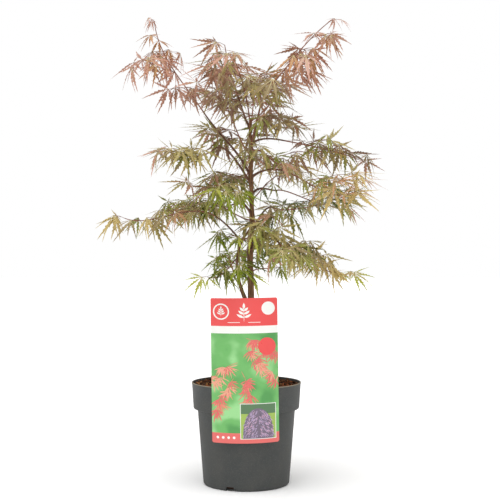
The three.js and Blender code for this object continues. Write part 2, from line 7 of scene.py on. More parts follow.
import logging
import math
from collections.abc import Callable, Iterable, Sequence
from dataclasses import dataclass, field, replace
from enum import Enum

import bmesh
import bpy
import numpy as np
from mathutils import Matrix, Vector, noise


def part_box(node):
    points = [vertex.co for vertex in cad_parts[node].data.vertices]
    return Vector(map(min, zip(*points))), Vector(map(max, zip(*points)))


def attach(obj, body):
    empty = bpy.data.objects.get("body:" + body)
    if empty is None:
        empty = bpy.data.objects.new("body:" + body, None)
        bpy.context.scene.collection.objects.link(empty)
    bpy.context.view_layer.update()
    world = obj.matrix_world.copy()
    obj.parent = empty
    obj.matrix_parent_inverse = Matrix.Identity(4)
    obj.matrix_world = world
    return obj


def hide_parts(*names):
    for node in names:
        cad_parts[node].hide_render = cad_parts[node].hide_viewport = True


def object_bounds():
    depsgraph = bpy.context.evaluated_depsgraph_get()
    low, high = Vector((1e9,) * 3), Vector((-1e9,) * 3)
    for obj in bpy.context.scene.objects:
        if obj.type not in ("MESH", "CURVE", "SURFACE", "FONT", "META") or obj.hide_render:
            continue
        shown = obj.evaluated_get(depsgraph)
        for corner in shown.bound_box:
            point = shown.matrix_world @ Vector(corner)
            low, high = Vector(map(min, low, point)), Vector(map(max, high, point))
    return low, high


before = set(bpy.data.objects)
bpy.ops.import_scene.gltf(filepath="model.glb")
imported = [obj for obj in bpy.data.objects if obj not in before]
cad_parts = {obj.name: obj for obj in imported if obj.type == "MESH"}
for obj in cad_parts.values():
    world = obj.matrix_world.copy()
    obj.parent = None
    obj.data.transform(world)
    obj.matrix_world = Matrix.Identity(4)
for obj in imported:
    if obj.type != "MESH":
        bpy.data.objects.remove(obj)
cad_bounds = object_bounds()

LOG = logging.getLogger("maple")
BODY = "root"
RIGHT = Vector((1.0, 0.0, 0.0))
UP = Vector((0.0, 0.0, 1.0))
MM = 0.001
WELD = 1e-6
WORD = 0xFFFFFFFF

# A middle value, and how far the draws about it spread in all
Spread = tuple[float, float]


def linear(colour: str) -> tuple[float, float, float, float]:
    """Turns an sRGB hex colour into the linear values that a shader takes.

    Args:
        colour: the colour as #RRGGBB.

    Returns:
        Red, green, blue and an alpha of one.
    """
    shares = [int(colour[i:i + 2], 16) / 255 for i in (1, 3, 5)]
    red, green, blue = (s / 12.92 if s <= 0.04045 else ((s + 0.055) / 1.055) ** 2.4 for s in shares)
    return red, green, blue, 1.0


def feed(node: bpy.types.Node, inputs: dict) -> None:
    """Fills the sockets of a shader node.

    Args:
        node: the node.
        inputs: for each socket's name or number, a value or the output that feeds it.
    """
    for key, value in inputs.items():
        if isinstance(value, bpy.types.NodeSocket):
            node.id_data.links.new(value, node.inputs[key])
        else:
            node.inputs[key].default_value = value


def add_node(tree: bpy.types.NodeTree, kind: str, inputs: dict | None = None,
             **settings: str) -> bpy.types.Node:
    """Adds one shader node.

    Args:
        tree: the node tree that takes it.
        kind: its type, without the ShaderNode that Blender puts before it.
        inputs: what its sockets take.
        settings: its own settings.

    Returns:
        The new node.
    """
    node = tree.nodes.new(f"ShaderNode{kind}")
    for name, value in settings.items():
        setattr(node, name, value)
    feed(node, inputs or {})
    return node


@dataclass(frozen=True)
class Tone:
    """A tone that lies over a colour where a pattern runs from a low value to a high one."""

    colour: str
    pattern: bpy.types.NodeSocket
    low: float
    high: float
    most: float | bpy.types.NodeSocket
    fade: str = "LINEAR"


def lay_tones(tree: bpy.types.NodeTree, colour: str, *tones: Tone) -> bpy.types.NodeSocket:
    """Lays tones over a colour, one after another.

    Args:
        tree: the material's node tree.
        colour: the colour below them, as sRGB hex.
        tones: the tones, lowest first.

    Returns:
        The output that gives the finished colour.
    """
    under = linear(colour)
    for tone in tones:
        share = add_node(tree, "MapRange", {"Value": tone.pattern, "From Min": tone.low,
                                            "From Max": tone.high, "To Max": tone.most},
                         interpolation_type=tone.fade)
        mixed = add_node(tree, "Mix", {0: share.outputs[0], 6: under, 7: linear(tone.colour)},
                         data_type="RGBA")
        under = mixed.outputs[2]
    return under


def start_material(name: str, colour: str, roughness: float,
                   specular: float = 0.5) -> tuple[bpy.types.Material, bpy.types.Node]:
    """Starts a material with one shader.

    Args:
        name: what the surface is and how it was made.
        colour: its colour as sRGB hex.
        roughness: how rough it is.
        specular: how strongly it mirrors, where a half is usual.

    Returns:
        The material and its shader.
    """
    material = bpy.data.materials.new(name)
    material.use_nodes = True
    shader = next(node for node in material.node_tree.nodes if node.type == "BSDF_PRINCIPLED")
    feed(shader, {"Base Color": linear(colour), "Roughness": roughness, "Specular IOR Level": specular})
    material.diffuse_color = linear(colour)
    return material, shader


def place(name: str, data: bpy.types.ID) -> bpy.types.Object:
    """Puts a mesh, light or camera into the scene.

    Args:
        name: the object's name.
        data: the mesh, light or camera.

    Returns:
        The object.
    """
    thing = bpy.data.objects.new(name, data)
    bpy.context.scene.collection.objects.link(thing)
    return thing


def make_piece(name: str, bm: bmesh.types.BMesh, finishes: Sequence[bpy.types.Material],
               smooth_below: float | None = None) -> bpy.types.Object:
    """Turns a finished bmesh into an object whose place is in its mesh.

    Args:
        name: the piece's plain name.
        bm: the shape, which is freed.
        finishes: the materials, in the order of the faces' indices.
        smooth_below: the angle in degrees under which two faces shade as one, or none for flat faces.

    Returns:
        The object.
    """
    mesh = bpy.data.meshes.new(name)
    bm.normal_update()
    bm.to_mesh(mesh)
    bm.free()
    for finish in finishes:
        mesh.materials.append(finish)
    if smooth_below is not None:
        mesh.shade_smooth()
        mesh.set_sharp_from_angle(angle=math.radians(smooth_below))
    return place(name, mesh)


def hand_over(piece: bpy.types.Object, slot: str, *nodes: str) -> None:
    """Puts a finished piece on the plant's body.

    Args:
        piece: the finished object.
        slot: the name of a material slot; it is not used.
        nodes: the solids that it stands for.
    """
    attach(piece, BODY)
    if nodes:
        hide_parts(*nodes)
    stands_for = ", ".join(nodes) or "nothing"
    LOG.info("%s: %d faces, stands for %s", piece.name, len(piece.data.polygons), stands_for)


class Gathered:
    """Many small things of one finish, gathered as arrays into one piece."""

    def __init__(self) -> None:
        """Starts with nothing gathered."""
        self.points: list[np.ndarray] = []
        self.faces: list[tuple[int, ...]] = []
        self.count = 0

    def add(self, points: np.ndarray, faces: Iterable[tuple[int, ...]]) -> None:
        """Takes one small thing.

        Args:
            points: its vertices, one row each.
            faces: its faces, by the numbers of its own vertices.
        """
        self.faces.extend(tuple(self.count + i for i in face) for face in faces)
        self.points.append(points)
        self.count += len(points)

    def piece(self, name: str, finish: bpy.types.Material, smooth: bool = False) -> bpy.types.Object:
        """Makes the piece.

        Args:
            name: the piece's plain name.
            finish: its material.
            smooth: whether its faces shade as one surface.

        Returns:
            The object.
        """
        mesh = bpy.data.meshes.new(name)
        mesh.from_pydata(np.concatenate(self.points).tolist(), [], self.faces)
        mesh.materials.append(finish)
        if smooth:
            mesh.shade_smooth()
        mesh.update()
        return place(name, mesh)


# Finishes


@dataclass(frozen=True)
class MouldedPolypropylene:
    """Injection-moulded recycled polypropylene: dark grey with a satin skin that carries paler specks,
    cloudy dust and a tan highlight painted along the top of the rim, full at the front and dimmed by
    painted shade at the back."""

    base: str = "#3E403F"
    speck: str = "#545553"
    dust: str = "#5D5B56"
    # A tan highlight painted along the top of the rim, full at the front and faint at the back.
    rim_highlight: str = "#A5977F"
    speck_spacing: float = 1.6 * MM
    dust_spacing: float = 38 * MM
    rim_highlight_depth: float = 2.0 * MM
    rim_highlight_most: float = 0.7
    rim_highlight_at_back: float = 0.15
    front_lit_within: float = 30 * MM

    def material(self, rim: float) -> bpy.types.Material:
        """Makes the material.

        Args:
            rim: the height of the pot's rim.

        Returns:
            The material.
        """
        material, shader = start_material("recycled polypropylene, injection moulded",
                                          self.base, roughness=0.6, specular=0.25)
        tree = material.node_tree
        where = add_node(tree, "TexCoord").outputs["Object"]
        specks = add_node(tree, "TexNoise", {
            "Vector": where, "Scale": 1 / self.speck_spacing, "Detail": 2.0}).outputs["Fac"]
        clouds = add_node(tree, "TexNoise", {
            "Vector": where, "Scale": 1 / self.dust_spacing, "Detail": 6.0, "Roughness": 0.62,
        }).outputs["Fac"]
        axes = add_node(tree, "SeparateXYZ", {0: where}).outputs
        # How much of the rim's painted highlight shows: all of it at the front, where the light falls,
        # dimmed towards the back as painted shade.
        front_lit = add_node(tree, "MapRange", {
            "Value": axes["Y"], "From Min": self.front_lit_within, "From Max": -self.front_lit_within,
            "To Min": self.rim_highlight_at_back * self.rim_highlight_most, "To Max": self.rim_highlight_most,
        }, interpolation_type="SMOOTHSTEP").outputs[0]
        gloss = add_node(tree, "MapRange", {
            "Value": clouds, "From Min": 0.3, "From Max": 0.7, "To Min": 0.5, "To Max": 0.7})
        grain = add_node(tree, "Bump", {"Height": specks, "Strength": 0.25, "Distance": 0.1 * MM})
        toned = lay_tones(
            tree, self.base, Tone(self.speck, specks, 0.52, 0.72, 0.55),
            Tone(self.dust, clouds, 0.42, 0.78, 0.36),
            # The painted tan highlight along the top of the rim.
            Tone(self.rim_highlight, axes["Z"], rim - self.rim_highlight_depth, rim, front_lit, "SMOOTHSTEP"))
        feed(shader, {"Base Color": toned, "Roughness": gloss.outputs[0], "Normal": grain.outputs[0]})
        return material


@dataclass(frozen=True)
class LooseBark:
    """Composted conifer bark, shredded: rough chips that scatter light and darken in their pores."""

    name: str
    colour: str
    pore: str = "#1E1510"
    pore_spacing: float = 2.4 * MM

    def material(self) -> bpy.types.Material:
        """Makes the material, mottled by damp pores.

        Returns:
            The material.
        """
        material, shader = start_material(f"{self.name} composted bark, shredded", self.colour,
                                          roughness=0.9, specular=0.3)
        tree = material.node_tree
        where = add_node(tree, "TexCoord").outputs["Object"]
        pores = add_node(tree, "TexNoise", {
            "Vector": where, "Scale": 1 / self.pore_spacing, "Detail": 4.0, "Roughness": 0.6,
        }).outputs["Fac"]
        rough = add_node(tree, "Bump", {"Height": pores, "Strength": 0.8, "Distance": 0.4 * MM})
        toned = lay_tones(tree, self.colour, Tone(self.pore, pores, 0.46, 0.7, 0.6))
        feed(shader, {"Base Color": toned, "Normal": rough.outputs[0]})
        return material


@dataclass(frozen=True)
class YoungBark:
    """Thin living bark of a young maple: smooth, with pale stretch marks along the limb, darker furrows
    between them and small corky pores. Its pattern follows the limb through the piece's own UV map."""

    name: str
    colour: str
    streak: str
    furrow: str
    streak_spacing: float = 1.6 * MM
    streak_length: float = 22 * MM
    pore_spacing: float = 2.6 * MM

    def material(self) -> bpy.types.Material:
        """Makes the material, streaked along V.

        Returns:
            The material.
        """
        material, shader = start_material(f"{self.name} maple bark, living", self.colour,
                                          roughness=0.62, specular=0.3)
        tree = material.node_tree
        along = add_node(tree, "UVMap", uv_map=Limb.UV_NAME).outputs[0]
        stretched = add_node(tree, "Mapping", {
            "Vector": along, "Scale": (1 / self.streak_spacing, 1 / self.streak_length, 1.0)})
        streaks = add_node(tree, "TexNoise", {
            "Vector": stretched.outputs[0], "Scale": 1.0, "Detail": 5.0, "Roughness": 0.6,
        }).outputs["Fac"]
        pores = add_node(tree, "TexVoronoi", {"Vector": along, "Scale": 1 / self.pore_spacing})
        cork = add_node(tree, "Math", {0: pores.outputs["Distance"], 1: streaks}, operation="ADD")
        relief = add_node(tree, "Bump", {
            "Height": cork.outputs[0], "Strength": 0.5, "Distance": 0.3 * MM})
        toned = lay_tones(tree, self.colour, Tone(self.streak, streaks, 0.5, 0.66, 0.85),
                          Tone(self.furrow, streaks, 0.48, 0.34, 0.8))
        feed(shader, {"Base Color": toned, "Normal": relief.outputs[0]})
        return material


class Tint(Enum):
    """The plain colours that the leaves are dealt, each with the record's slot that it belongs to."""

    BLUSH = ("#CCA595", "leaf_coral")
    CORAL = ("#B68773", "leaf_coral")
    RUST = ("#A47A63", "leaf_rust")
    BRICK = ("#8E6E5A", "leaf_rust")
    MAROON = ("#826552", "leaf_maroon")
    UMBER = ("#8E7C58", "leaf_maroon")
    BRONZE = ("#A09259", "leaf_olive")
    OLIVE = ("#84853F", "leaf_olive")
    MOSS = ("#4E560C", "leaf_olive")
    GREEN = ("#728010", "leaf_green")
    LIME = ("#A3A742", "leaf_green")
    AMBER = ("#BDA76B", "leaf_amber")
    ORANGE = ("#BA8B62", "leaf_amber")

    def __init__(self, colour: str, slot: str) -> None:
        """Names the tint's sRGB hex colour and its slot."""
        self.colour = colour
        self.slot = slot


class Autumn(Enum):
    """How far a spray has turned: the tints of its leaves, and those of its youngest leaves."""

    CORAL = ((Tint.CORAL, Tint.RUST, Tint.CORAL, Tint.ORANGE), (Tint.BLUSH, Tint.CORAL))
    RUST = ((Tint.RUST, Tint.BRICK, Tint.UMBER, Tint.RUST, Tint.BRONZE), (Tint.CORAL, Tint.RUST))
    COPPER = ((Tint.BRONZE, Tint.UMBER, Tint.OLIVE, Tint.AMBER), (Tint.BRONZE, Tint.CORAL, Tint.AMBER))
    MAROON = ((Tint.OLIVE, Tint.UMBER, Tint.BRICK, Tint.BRONZE, Tint.AMBER, Tint.MAROON),
              (Tint.RUST, Tint.UMBER))
    OLIVE = ((Tint.OLIVE, Tint.UMBER, Tint.MOSS, Tint.BRONZE), (Tint.BRONZE, Tint.RUST, Tint.OLIVE))
    GREEN = ((Tint.GREEN, Tint.OLIVE, Tint.GREEN, Tint.MOSS), (Tint.GREEN, Tint.LIME))
    AMBER = ((Tint.AMBER, Tint.OLIVE, Tint.BRONZE, Tint.ORANGE, Tint.UMBER), (Tint.AMBER, Tint.ORANGE))
    STRAW = ((Tint.BRONZE, Tint.AMBER, Tint.LIME, Tint.AMBER, Tint.AMBER), (Tint.AMBER, Tint.LIME))

    def __init__(self, grown: tuple[Tint, ...], young: tuple[Tint, ...]) -> None:
        """Names the tints of full-grown leaves and of those at the tips."""
        self.grown = grown
        self.young = young


@dataclass(frozen=True)
class LivingSkin:
    """The thin, faintly waxy skin of a living leaf, of its rib or of a green twig, in one plain colour: it
    is soft in light, with a weak sheen."""

    name: str
    colour: str
    roughness: float = 0.4
    specular: float = 0.2

    def material(self) -> bpy.types.Material:
        """Makes the material."""
        return start_material(self.name, self.colour, self.roughness, self.specular)[0]


@dataclass(frozen=True)
class MattPaper:
    """Uncoated white paper off the roll: an even pale ground that scatters light and mirrors nothing."""

    colour: str = "#FFFFFF"

    def material(self) -> bpy.types.Material:
        """Makes the material."""
        return start_material("floor, matt white paper", self.colour, roughness=0.9, specular=0.1)[0]


@dataclass(frozen=True)
class PrintedSheet:
    """Polypropylene sheet, offset printed and varnished: clear flat ink under a gloss that scuffs."""

    name: str
    ink: str
    scuff_spacing: float = 14 * MM

    def _print_on(self, tree: bpy.types.NodeTree, where: bpy.types.NodeSocket) -> dict:
        """Gives what the shader takes for the print: nothing more than the ink's plain colour."""
        return {}

    def material(self) -> bpy.types.Material:
        """Makes the material of one ink.

        Returns:
            The material.
        """
        material, shader = start_material(f"{self.name} ink, offset printed and varnished",
                                          self.ink, roughness=0.32)
        tree = material.node_tree
        where = add_node(tree, "TexCoord").outputs["Object"]
        scuffs = add_node(tree, "TexNoise", {
            "Vector": where, "Scale": 1 / self.scuff_spacing, "Detail": 5.0, "Roughness": 0.65})
        gloss = add_node(tree, "MapRange", {
            "Value": scuffs.outputs["Fac"], "From Min": 0.3, "From Max": 0.75,
            "To Min": 0.26, "To Max": 0.46})
        feed(shader, {"Roughness": gloss.outputs[0], "Coat Weight": 0.3, "Coat Roughness": 0.2,
                      **self._print_on(tree, where)})
        return material


@dataclass(frozen=True)
class PrintedGarden(PrintedSheet):
    """The same sheet under a soft out-of-focus print of greenery: clouds of three greens."""

    name: str = "garden green"
    ink: str = "#62AA58"
    light: str = "#93CD88"
    deep: str = "#408C40"
    cloud_spacing: float = 34 * MM

    def _print_on(self, tree: bpy.types.NodeTree, where: bpy.types.NodeSocket) -> dict:
        """Gives what the shader takes for the print.

        Args:
            tree: the material's node tree.
            where: the output that tells the place on the piece.

        Returns:
            The clouds of green, as the shader's colour.
        """
        clouds = add_node(tree, "TexNoise", {
            "Vector": where, "Scale": 1 / self.cloud_spacing, "Detail": 1.5, "Roughness": 0.4,
        }).outputs["Fac"]
        return {"Base Color": lay_tones(
            tree, self.ink, Tone(self.light, clouds, 0.5, 0.68, 0.9, "SMOOTHSTEP"),
            Tone(self.deep, clouds, 0.48, 0.3, 0.9, "SMOOTHSTEP"))}


# Growth: the same rule and seeds as the solids follow


class Carrier(Enum):
    """What a limb's foot grows from."""

    TRUNK = "trunk"
    SIDE_STEM = "side_stem"


@dataclass(frozen=True)
class Bough:
    """One bough: its foot's height, the slope it leaves at, its bearing, reach and rise, and the slope of
    its tip."""

    name: str
    height: float
    leave: float
    bearing: float
    reach: float
    rise: float
    nod: float
    thick: float
    on: Carrier = Carrier.TRUNK


@dataclass(frozen=True)
class Spray:
    """One spray of foliage: its stem, leaf pairs, side twigs, colour and how its leaves hang."""

    name: str
    bearing: float
    reach: float
    rise: float
    nod: float
    pairs: int
    first: float
    twigs: int
    seed: int
    autumn: Autumn
    fan: float
    droop: float
    leaf: float = 1.0
    young: float = 1.0
    height: float = 0.0
    leave: float = 0.0
    on: Carrier = Carrier.TRUNK


BOUGHS = (
    Bough("upper_right", 0.586, 65, 15, 0.061, 0.012, -9, 0.002),
    Bough("middle_right", 0.531, 44, 337, 0.067, 0.009, -23, 0.0022),
    Bough("lowest_right", 0.407, 61, 12, 0.045, 0.022, -32, 0.0022),
    Bough("low_right_back", 0.437, 44, 60, 0.08, 0.045, -13, 0.002),
    Bough("top_right", 0.593, 62, 348, 0.033, 0.093, 49, 0.002),
    Bough("top_left", 0.617, 60, 162, 0.029, 0.077, 68, 0.0019),
    Bough("upper_left", 0.53, 70, 166, 0.086, 0.118, 56, 0.0024),
    Bough("middle_left", 0.521, 54, 195, 0.067, 0.058, -40, 0.0022),
    Bough("far_left", 0.419, 53, 182, 0.045, 0.045, 32, 0.0018, Carrier.SIDE_STEM),
    Bough("left_front", 0.464, 64, 220, 0.034, 0.032, 27, 0.0019),
    Bough("front_right", 0.405, 27, 302, 0.094, 0.01, -39, 0.002),
    Bough("back_right", 0.499, 48, 63, 0.105, 0.016, 7, 0.0022),
    Bough("back_left", 0.46, 63, 115, 0.1, 0.025, -13, 0.0022),
    Bough("back", 0.553, 66, 80, 0.092, 0.034, 6, 0.002),
    Bough("front_left_low", 0.376, 48, 265, 0.057, 0.01, -12, 0.0015, Carrier.SIDE_STEM),
    Bough("back_low", 0.397, 44, 89, 0.083, 0.022, -12, 0.002),
)

SPRAYS = (
    Spray("upper_right", 20, 0.144, -0.029, -18, 5, 0.25, 2, 451, Autumn.MAROON, 0.035, 19),
    Spray("middle_right", 323, 0.127, -0.041, 15, 5, 0.05, 2, 168, Autumn.AMBER, 0.095, 15),
    Spray("lowest_right", 337, 0.13, -0.065, 1, 6, 0.05, 3, 739, Autumn.STRAW, 0.035, 33),
    Spray("low_right_back", 31, 0.138, 0.013, 6, 4, 0.05, 2, 868, Autumn.OLIVE, 0.069, 11),
    Spray("top_right", 7, 0.108, 0.12, 38, 2, 0.45, 4, 536, Autumn.CORAL, 0.042, 34, young=0.6),
    Spray("top_left", 186, 0.017, 0.07, 80, 3, 0.05, 3, 268, Autumn.RUST, 0.046, 34),
    Spray("upper_left", 158, 0.097, 0.168, 84, 4, 0.45, 3, 405, Autumn.CORAL, 0.085, 34, young=0.6),
    Spray("middle_left", 195, 0.085, -0.004, 20, 5, 0.4, 1, 710, Autumn.COPPER, 0.058, 10),
    Spray("far_left", 171, 0.162, -0.003, 20, 6, 0.2, 1, 413, Autumn.AMBER, 0.044, 34),
    Spray("left_front", 211, 0.085, 0.017, -1, 3, 0.05, 1, 478, Autumn.OLIVE, 0.037, 18),
    Spray("front_right", 295, 0.043, -0.027, 2, 2, 0.2, 2, 412, Autumn.OLIVE, 0.04, 31),
    Spray("back_right", 37, 0.148, -0.026, 6, 2, 0.55, 1, 599, Autumn.OLIVE, 0.1, 16),
    Spray("back_left", 143, 0.13, 0.01, 20, 4, 0.2, 2, 262, Autumn.OLIVE, 0.063, 29),
    Spray("back", 61, 0.126, -0.021, 18, 4, 0.65, 3, 172, Autumn.MAROON, 0.087, 30),
    Spray("front_left_low", 231, 0.059, -0.026, 14, 5, 0.1, 1, 442, Autumn.GREEN, 0.036, 34, leaf=0.9),
    Spray("back_low", 93, 0.095, -0.058, -50, 3, 0.05, 2, 31, Autumn.GREEN, 0.074, 34),
    Spray("crown_front", 260, 0.15, 0.092, 19, 5, 0.3, 3, 27, Autumn.RUST, 0.038, 25, height=0.621,
          leave=66),
    Spray("crown_back", 80, 0.125, 0.138, 11, 5, 0.45, 4, 925, Autumn.RUST, 0.057, 10, height=0.596,
          leave=77),
    Spray("crown_left", 197, 0.088, 0.116, -19, 2, 0.75, 2, 807, Autumn.RUST, 0.05, 18, height=0.57,
          leave=44),
    Spray("crown_right", 63, 0.076, 0.108, 33, 3, 0.05, 3, 122, Autumn.MAROON, 0.067, 10,
          height=0.562, leave=78),
    Spray("crown_front_right", 291, 0.118, 0.092, -17, 5, 0.75, 2, 676, Autumn.MAROON, 0.035, 23,
          height=0.586, leave=57),
    Spray("inner_right", 33, 0.054, 0.045, 24, 2, 0.55, 0, 290, Autumn.OLIVE, 0.06, 12,
          height=0.492, leave=39),
    Spray("low_front", 265, 0.099, 0.023, -13, 2, 0.65, 1, 695, Autumn.GREEN, 0.057, 31, leaf=0.9,
          height=0.4, leave=36),
    Spray("low_right_front", 296, 0.072, -0.017, 22, 5, 0.3, 2, 808, Autumn.OLIVE, 0.055, 28,
          height=0.451, leave=41),
    Spray("low_left", 216, 0.035, 0.052, -48, 1, 1, 0, 728, Autumn.GREEN, 0.06, 34, leaf=0.8,
          height=0.342, leave=32, on=Carrier.SIDE_STEM),
    Spray("base_right", 11, 0.038, 0.009, 8, 1, 1, 0, 174, Autumn.GREEN, 0.06, 25, leaf=0.7,
          height=0.365, leave=58),
    Spray("back_middle", 103, 0.173, 0.025, 10, 5, 0.65, 1, 884, Autumn.OLIVE, 0.054, 28,
          height=0.517, leave=34),
    Spray("low_left_back", 140, 0.126, 0.032, -19, 3, 0.45, 1, 384, Autumn.OLIVE, 0.056, 27,
          height=0.457, leave=7),
    Spray("front_middle_left", 247, 0.123, 0.004, 10, 4, 0.5, 1, 171, Autumn.GREEN, 0.065, 34,
          height=0.495, leave=28),
    Spray("front_upper_right", 306, 0.092, -0.023, 5, 2, 0.6, 1, 343, Autumn.OLIVE, 0.041, 18,
          height=0.572, leave=52),
)


def direction(bearing: float, slope: float = 0.0) -> Vector:
    """Gives the unit vector that heads along a bearing at a slope.

    Args:
        bearing: the bearing.
        slope: the slope.

    Returns:
        The vector.
    """
    level = math.cos(math.radians(slope))
    turn = math.radians(bearing)
    return Vector((math.cos(turn) * level, math.sin(turn) * level, math.sin(math.radians(slope))))


def bearing_of(heading: Vector) -> float:
    """Gives the bearing of a vector in plan."""
    return math.degrees(math.atan2(heading.y, heading.x))


def mix(low: float, high: float, share: float) -> float:
    """Gives the value a share of the way from low to high."""
    return low + (high - low) * share


def even_shares(count: int) -> list[float]:
    """Gives the shares from 0 to 1 that cut a length into a count of equal steps."""
    return [i / count for i in range(count + 1)]


class Draws:
    """A run of numbers from 0 to 1 that a seed always gives again."""

    STEP = 0x6D2B79F5

    def __init__(self, seed: int) -> None:
        """Starts the run at its seed."""
        self.state = seed & WORD

    def __call__(self) -> float:
        """Draws the next number.

        Returns:
            The number.
        """
        self.state = (self.state + self.STEP) & WORD
        word = ((self.state ^ (self.state >> 15)) * (self.state | 1)) & WORD
        word ^= (word + (((word ^ (word >> 7)) * (word | 61)) & WORD)) & WORD
        return ((word ^ (word >> 14)) & WORD) / (WORD + 1)

    def about(self, middle: float, spread: float) -> float:
        """Draws a value up to half the spread to either side of the middle."""
        return middle + spread * (self() - 0.5)

    def pick(self, options: Sequence[Enum]) -> Enum:
        """Draws one of the options."""
        return options[int(self() * len(options))]


@dataclass(frozen=True)
class Path:
    """A Bezier curve of three or four points."""

    points: tuple[Vector, ...]
    measured_steps: int = 16

    def _reduced(self, share: float, left: int) -> list[Vector]:
        """Goes a share of the way along each span, again and again.

        Args:
            share: the share.
            left: how many points to stop at.

        Returns:
            The points that are left.
        """
        points = list(self.points)
        while len(points) > left:
            points = [low.lerp(high, share) for low, high in zip(points, points[1:])]
        return points

    def at(self, share: float) -> Vector:
        """Gives the point a share of the way along."""
        return self._reduced(share, 1)[0]

    def heading(self, share: float) -> Vector:
        """Gives the unit vector along the curve there."""
        low, high = self._reduced(share, 2)
        return (high - low).normalized()

    def length(self) -> float:
        """Gives the curve's length."""
        stops = [self.at(share) for share in even_shares(self.measured_steps)]
        return sum((high - low).length for low, high in zip(stops, stops[1:]))


def grow(foot: Vector, leaving: Vector, bearing: float, reach: float, rise: float, nod: float) -> Path:
    """Grows a limb's axis.

    Args:
        foot: where it starts.
        leaving: the unit vector it leaves in.
        bearing: the bearing of its tip from its foot.
        reach: how far out the tip lies.
        rise: how far above the foot the tip lies.
        nod: the slope that it ends at.

    Returns:
        The axis.
    """
    tip = foot + direction(bearing) * reach + UP * rise
    hold = (tip - foot).length / 3
    return Path((foot, foot + leaving * hold, tip - direction(bearing, nod) * hold, tip))


@dataclass
class Limb:
    """One tapering limb with the bark's relief, made ring by ring along its axis."""

    UV_NAME = "along_bark"

    name: str
    at: Callable[[float], Vector]
    heading: Callable[[float], Vector]
    radius: Callable[[float], float]
    across: Vector
    shares: Sequence[float]
    sides: int
    relief: float = 0.22 * MM
    relief_width: float = 2.2 * MM
    relief_stretch: float = 0.16
    relief_finer: tuple[float, float, int] = (0.9, 2.1, 3)

    def _ring(self, share: float) -> Matrix:
        """Gives the frame of one ring, with its radius as the scale.

        Args:
            share: how far along the limb the ring lies, as a share.

        Returns:
            The frame, which heads along the limb in Z.
        """
        along = self.heading(share)
        first = (self.across - along * self.across.dot(along)).normalized()
        second = along.cross(first)
        radius = self.radius(share)
        ring = Matrix((first * radius, second * radius, along)).transposed().to_4x4()
        ring.translation = self.at(share)
        return ring

    def _roughen(self, verts: Iterable[bmesh.types.BMVert], ring: Matrix) -> None:
        """Lifts one ring's points into the bark's ridges, which run along the limb.

        Args:
            verts: the ring's points.
            ring: its frame.
        """
        centre = ring.translation
        along = ring.to_3x3().col[2].normalized()
        for vert in verts:
            out = (vert.co - centre).normalized()
            stretched = vert.co - along * vert.co.dot(along) * (1 - self.relief_stretch)
            ridge = noise.fractal(stretched / self.relief_width, *self.relief_finer)
            vert.co += out * ridge * self.relief

    def _unwrap(self, bm: bmesh.types.BMesh, rings: list[Matrix], owner: dict) -> None:
        """Lays the bark's map out in metres: U round the limb, V along it.

        Args:
            bm: the limb's mesh.
            rings: the frames of its rings.
            owner: the number of each point's ring.
        """
        far = [0.0]
        for low, high in zip(rings, rings[1:]):
            far.append(far[-1] + (high.translation - low.translation).length)
        layer = bm.loops.layers.uv.new(self.UV_NAME)
        girth = self.radius(0.5)
        for face in bm.faces:
            turns = []
            for vert in face.verts:
                local = rings[owner[vert]].inverted() @ vert.co
                turns.append(math.atan2(local.y, local.x))
            seam = max(turns) - min(turns) > math.pi
            for loop, turn in zip(face.loops, turns):
                turn += math.tau if seam and turn < 0 else 0.0
                loop[layer].uv = (turn * girth, far[owner[loop.vert]])

    def mesh(self) -> bmesh.types.BMesh:
        """Makes the limb's closed mesh.

        Returns:
            The mesh.
        """
        bm = bmesh.new()
        rings = [self._ring(share) for share in self.shares]
        circle = bmesh.ops.create_circle(
            bm, cap_ends=True, segments=self.sides, radius=1.0, matrix=rings[0])["verts"]
        owner = {vert: 0 for vert in circle}
        groups = [list(circle)]
        edges = list(bm.edges)
        for number in range(1, len(rings)):
            grown = bmesh.ops.extrude_edge_only(bm, edges=edges)["geom"]
            verts = [item for item in grown if isinstance(item, bmesh.types.BMVert)]
            fresh = set(verts)
            edges = [item for item in grown if isinstance(item, bmesh.types.BMEdge)
                     and fresh.issuperset(item.verts)]
            step = rings[number] @ rings[number - 1].inverted()
            bmesh.ops.transform(bm, matrix=step, verts=verts)
            owner.update((vert, number) for vert in verts)
            groups.append(verts)
        bmesh.ops.edgeloop_fill(bm, edges=edges)
        self._unwrap(bm, rings, owner)
        for verts, ring in zip(groups, rings):
            self._roughen(verts, ring)
        bmesh.ops.recalc_face_normals(bm, faces=bm.faces[:])
        return bm


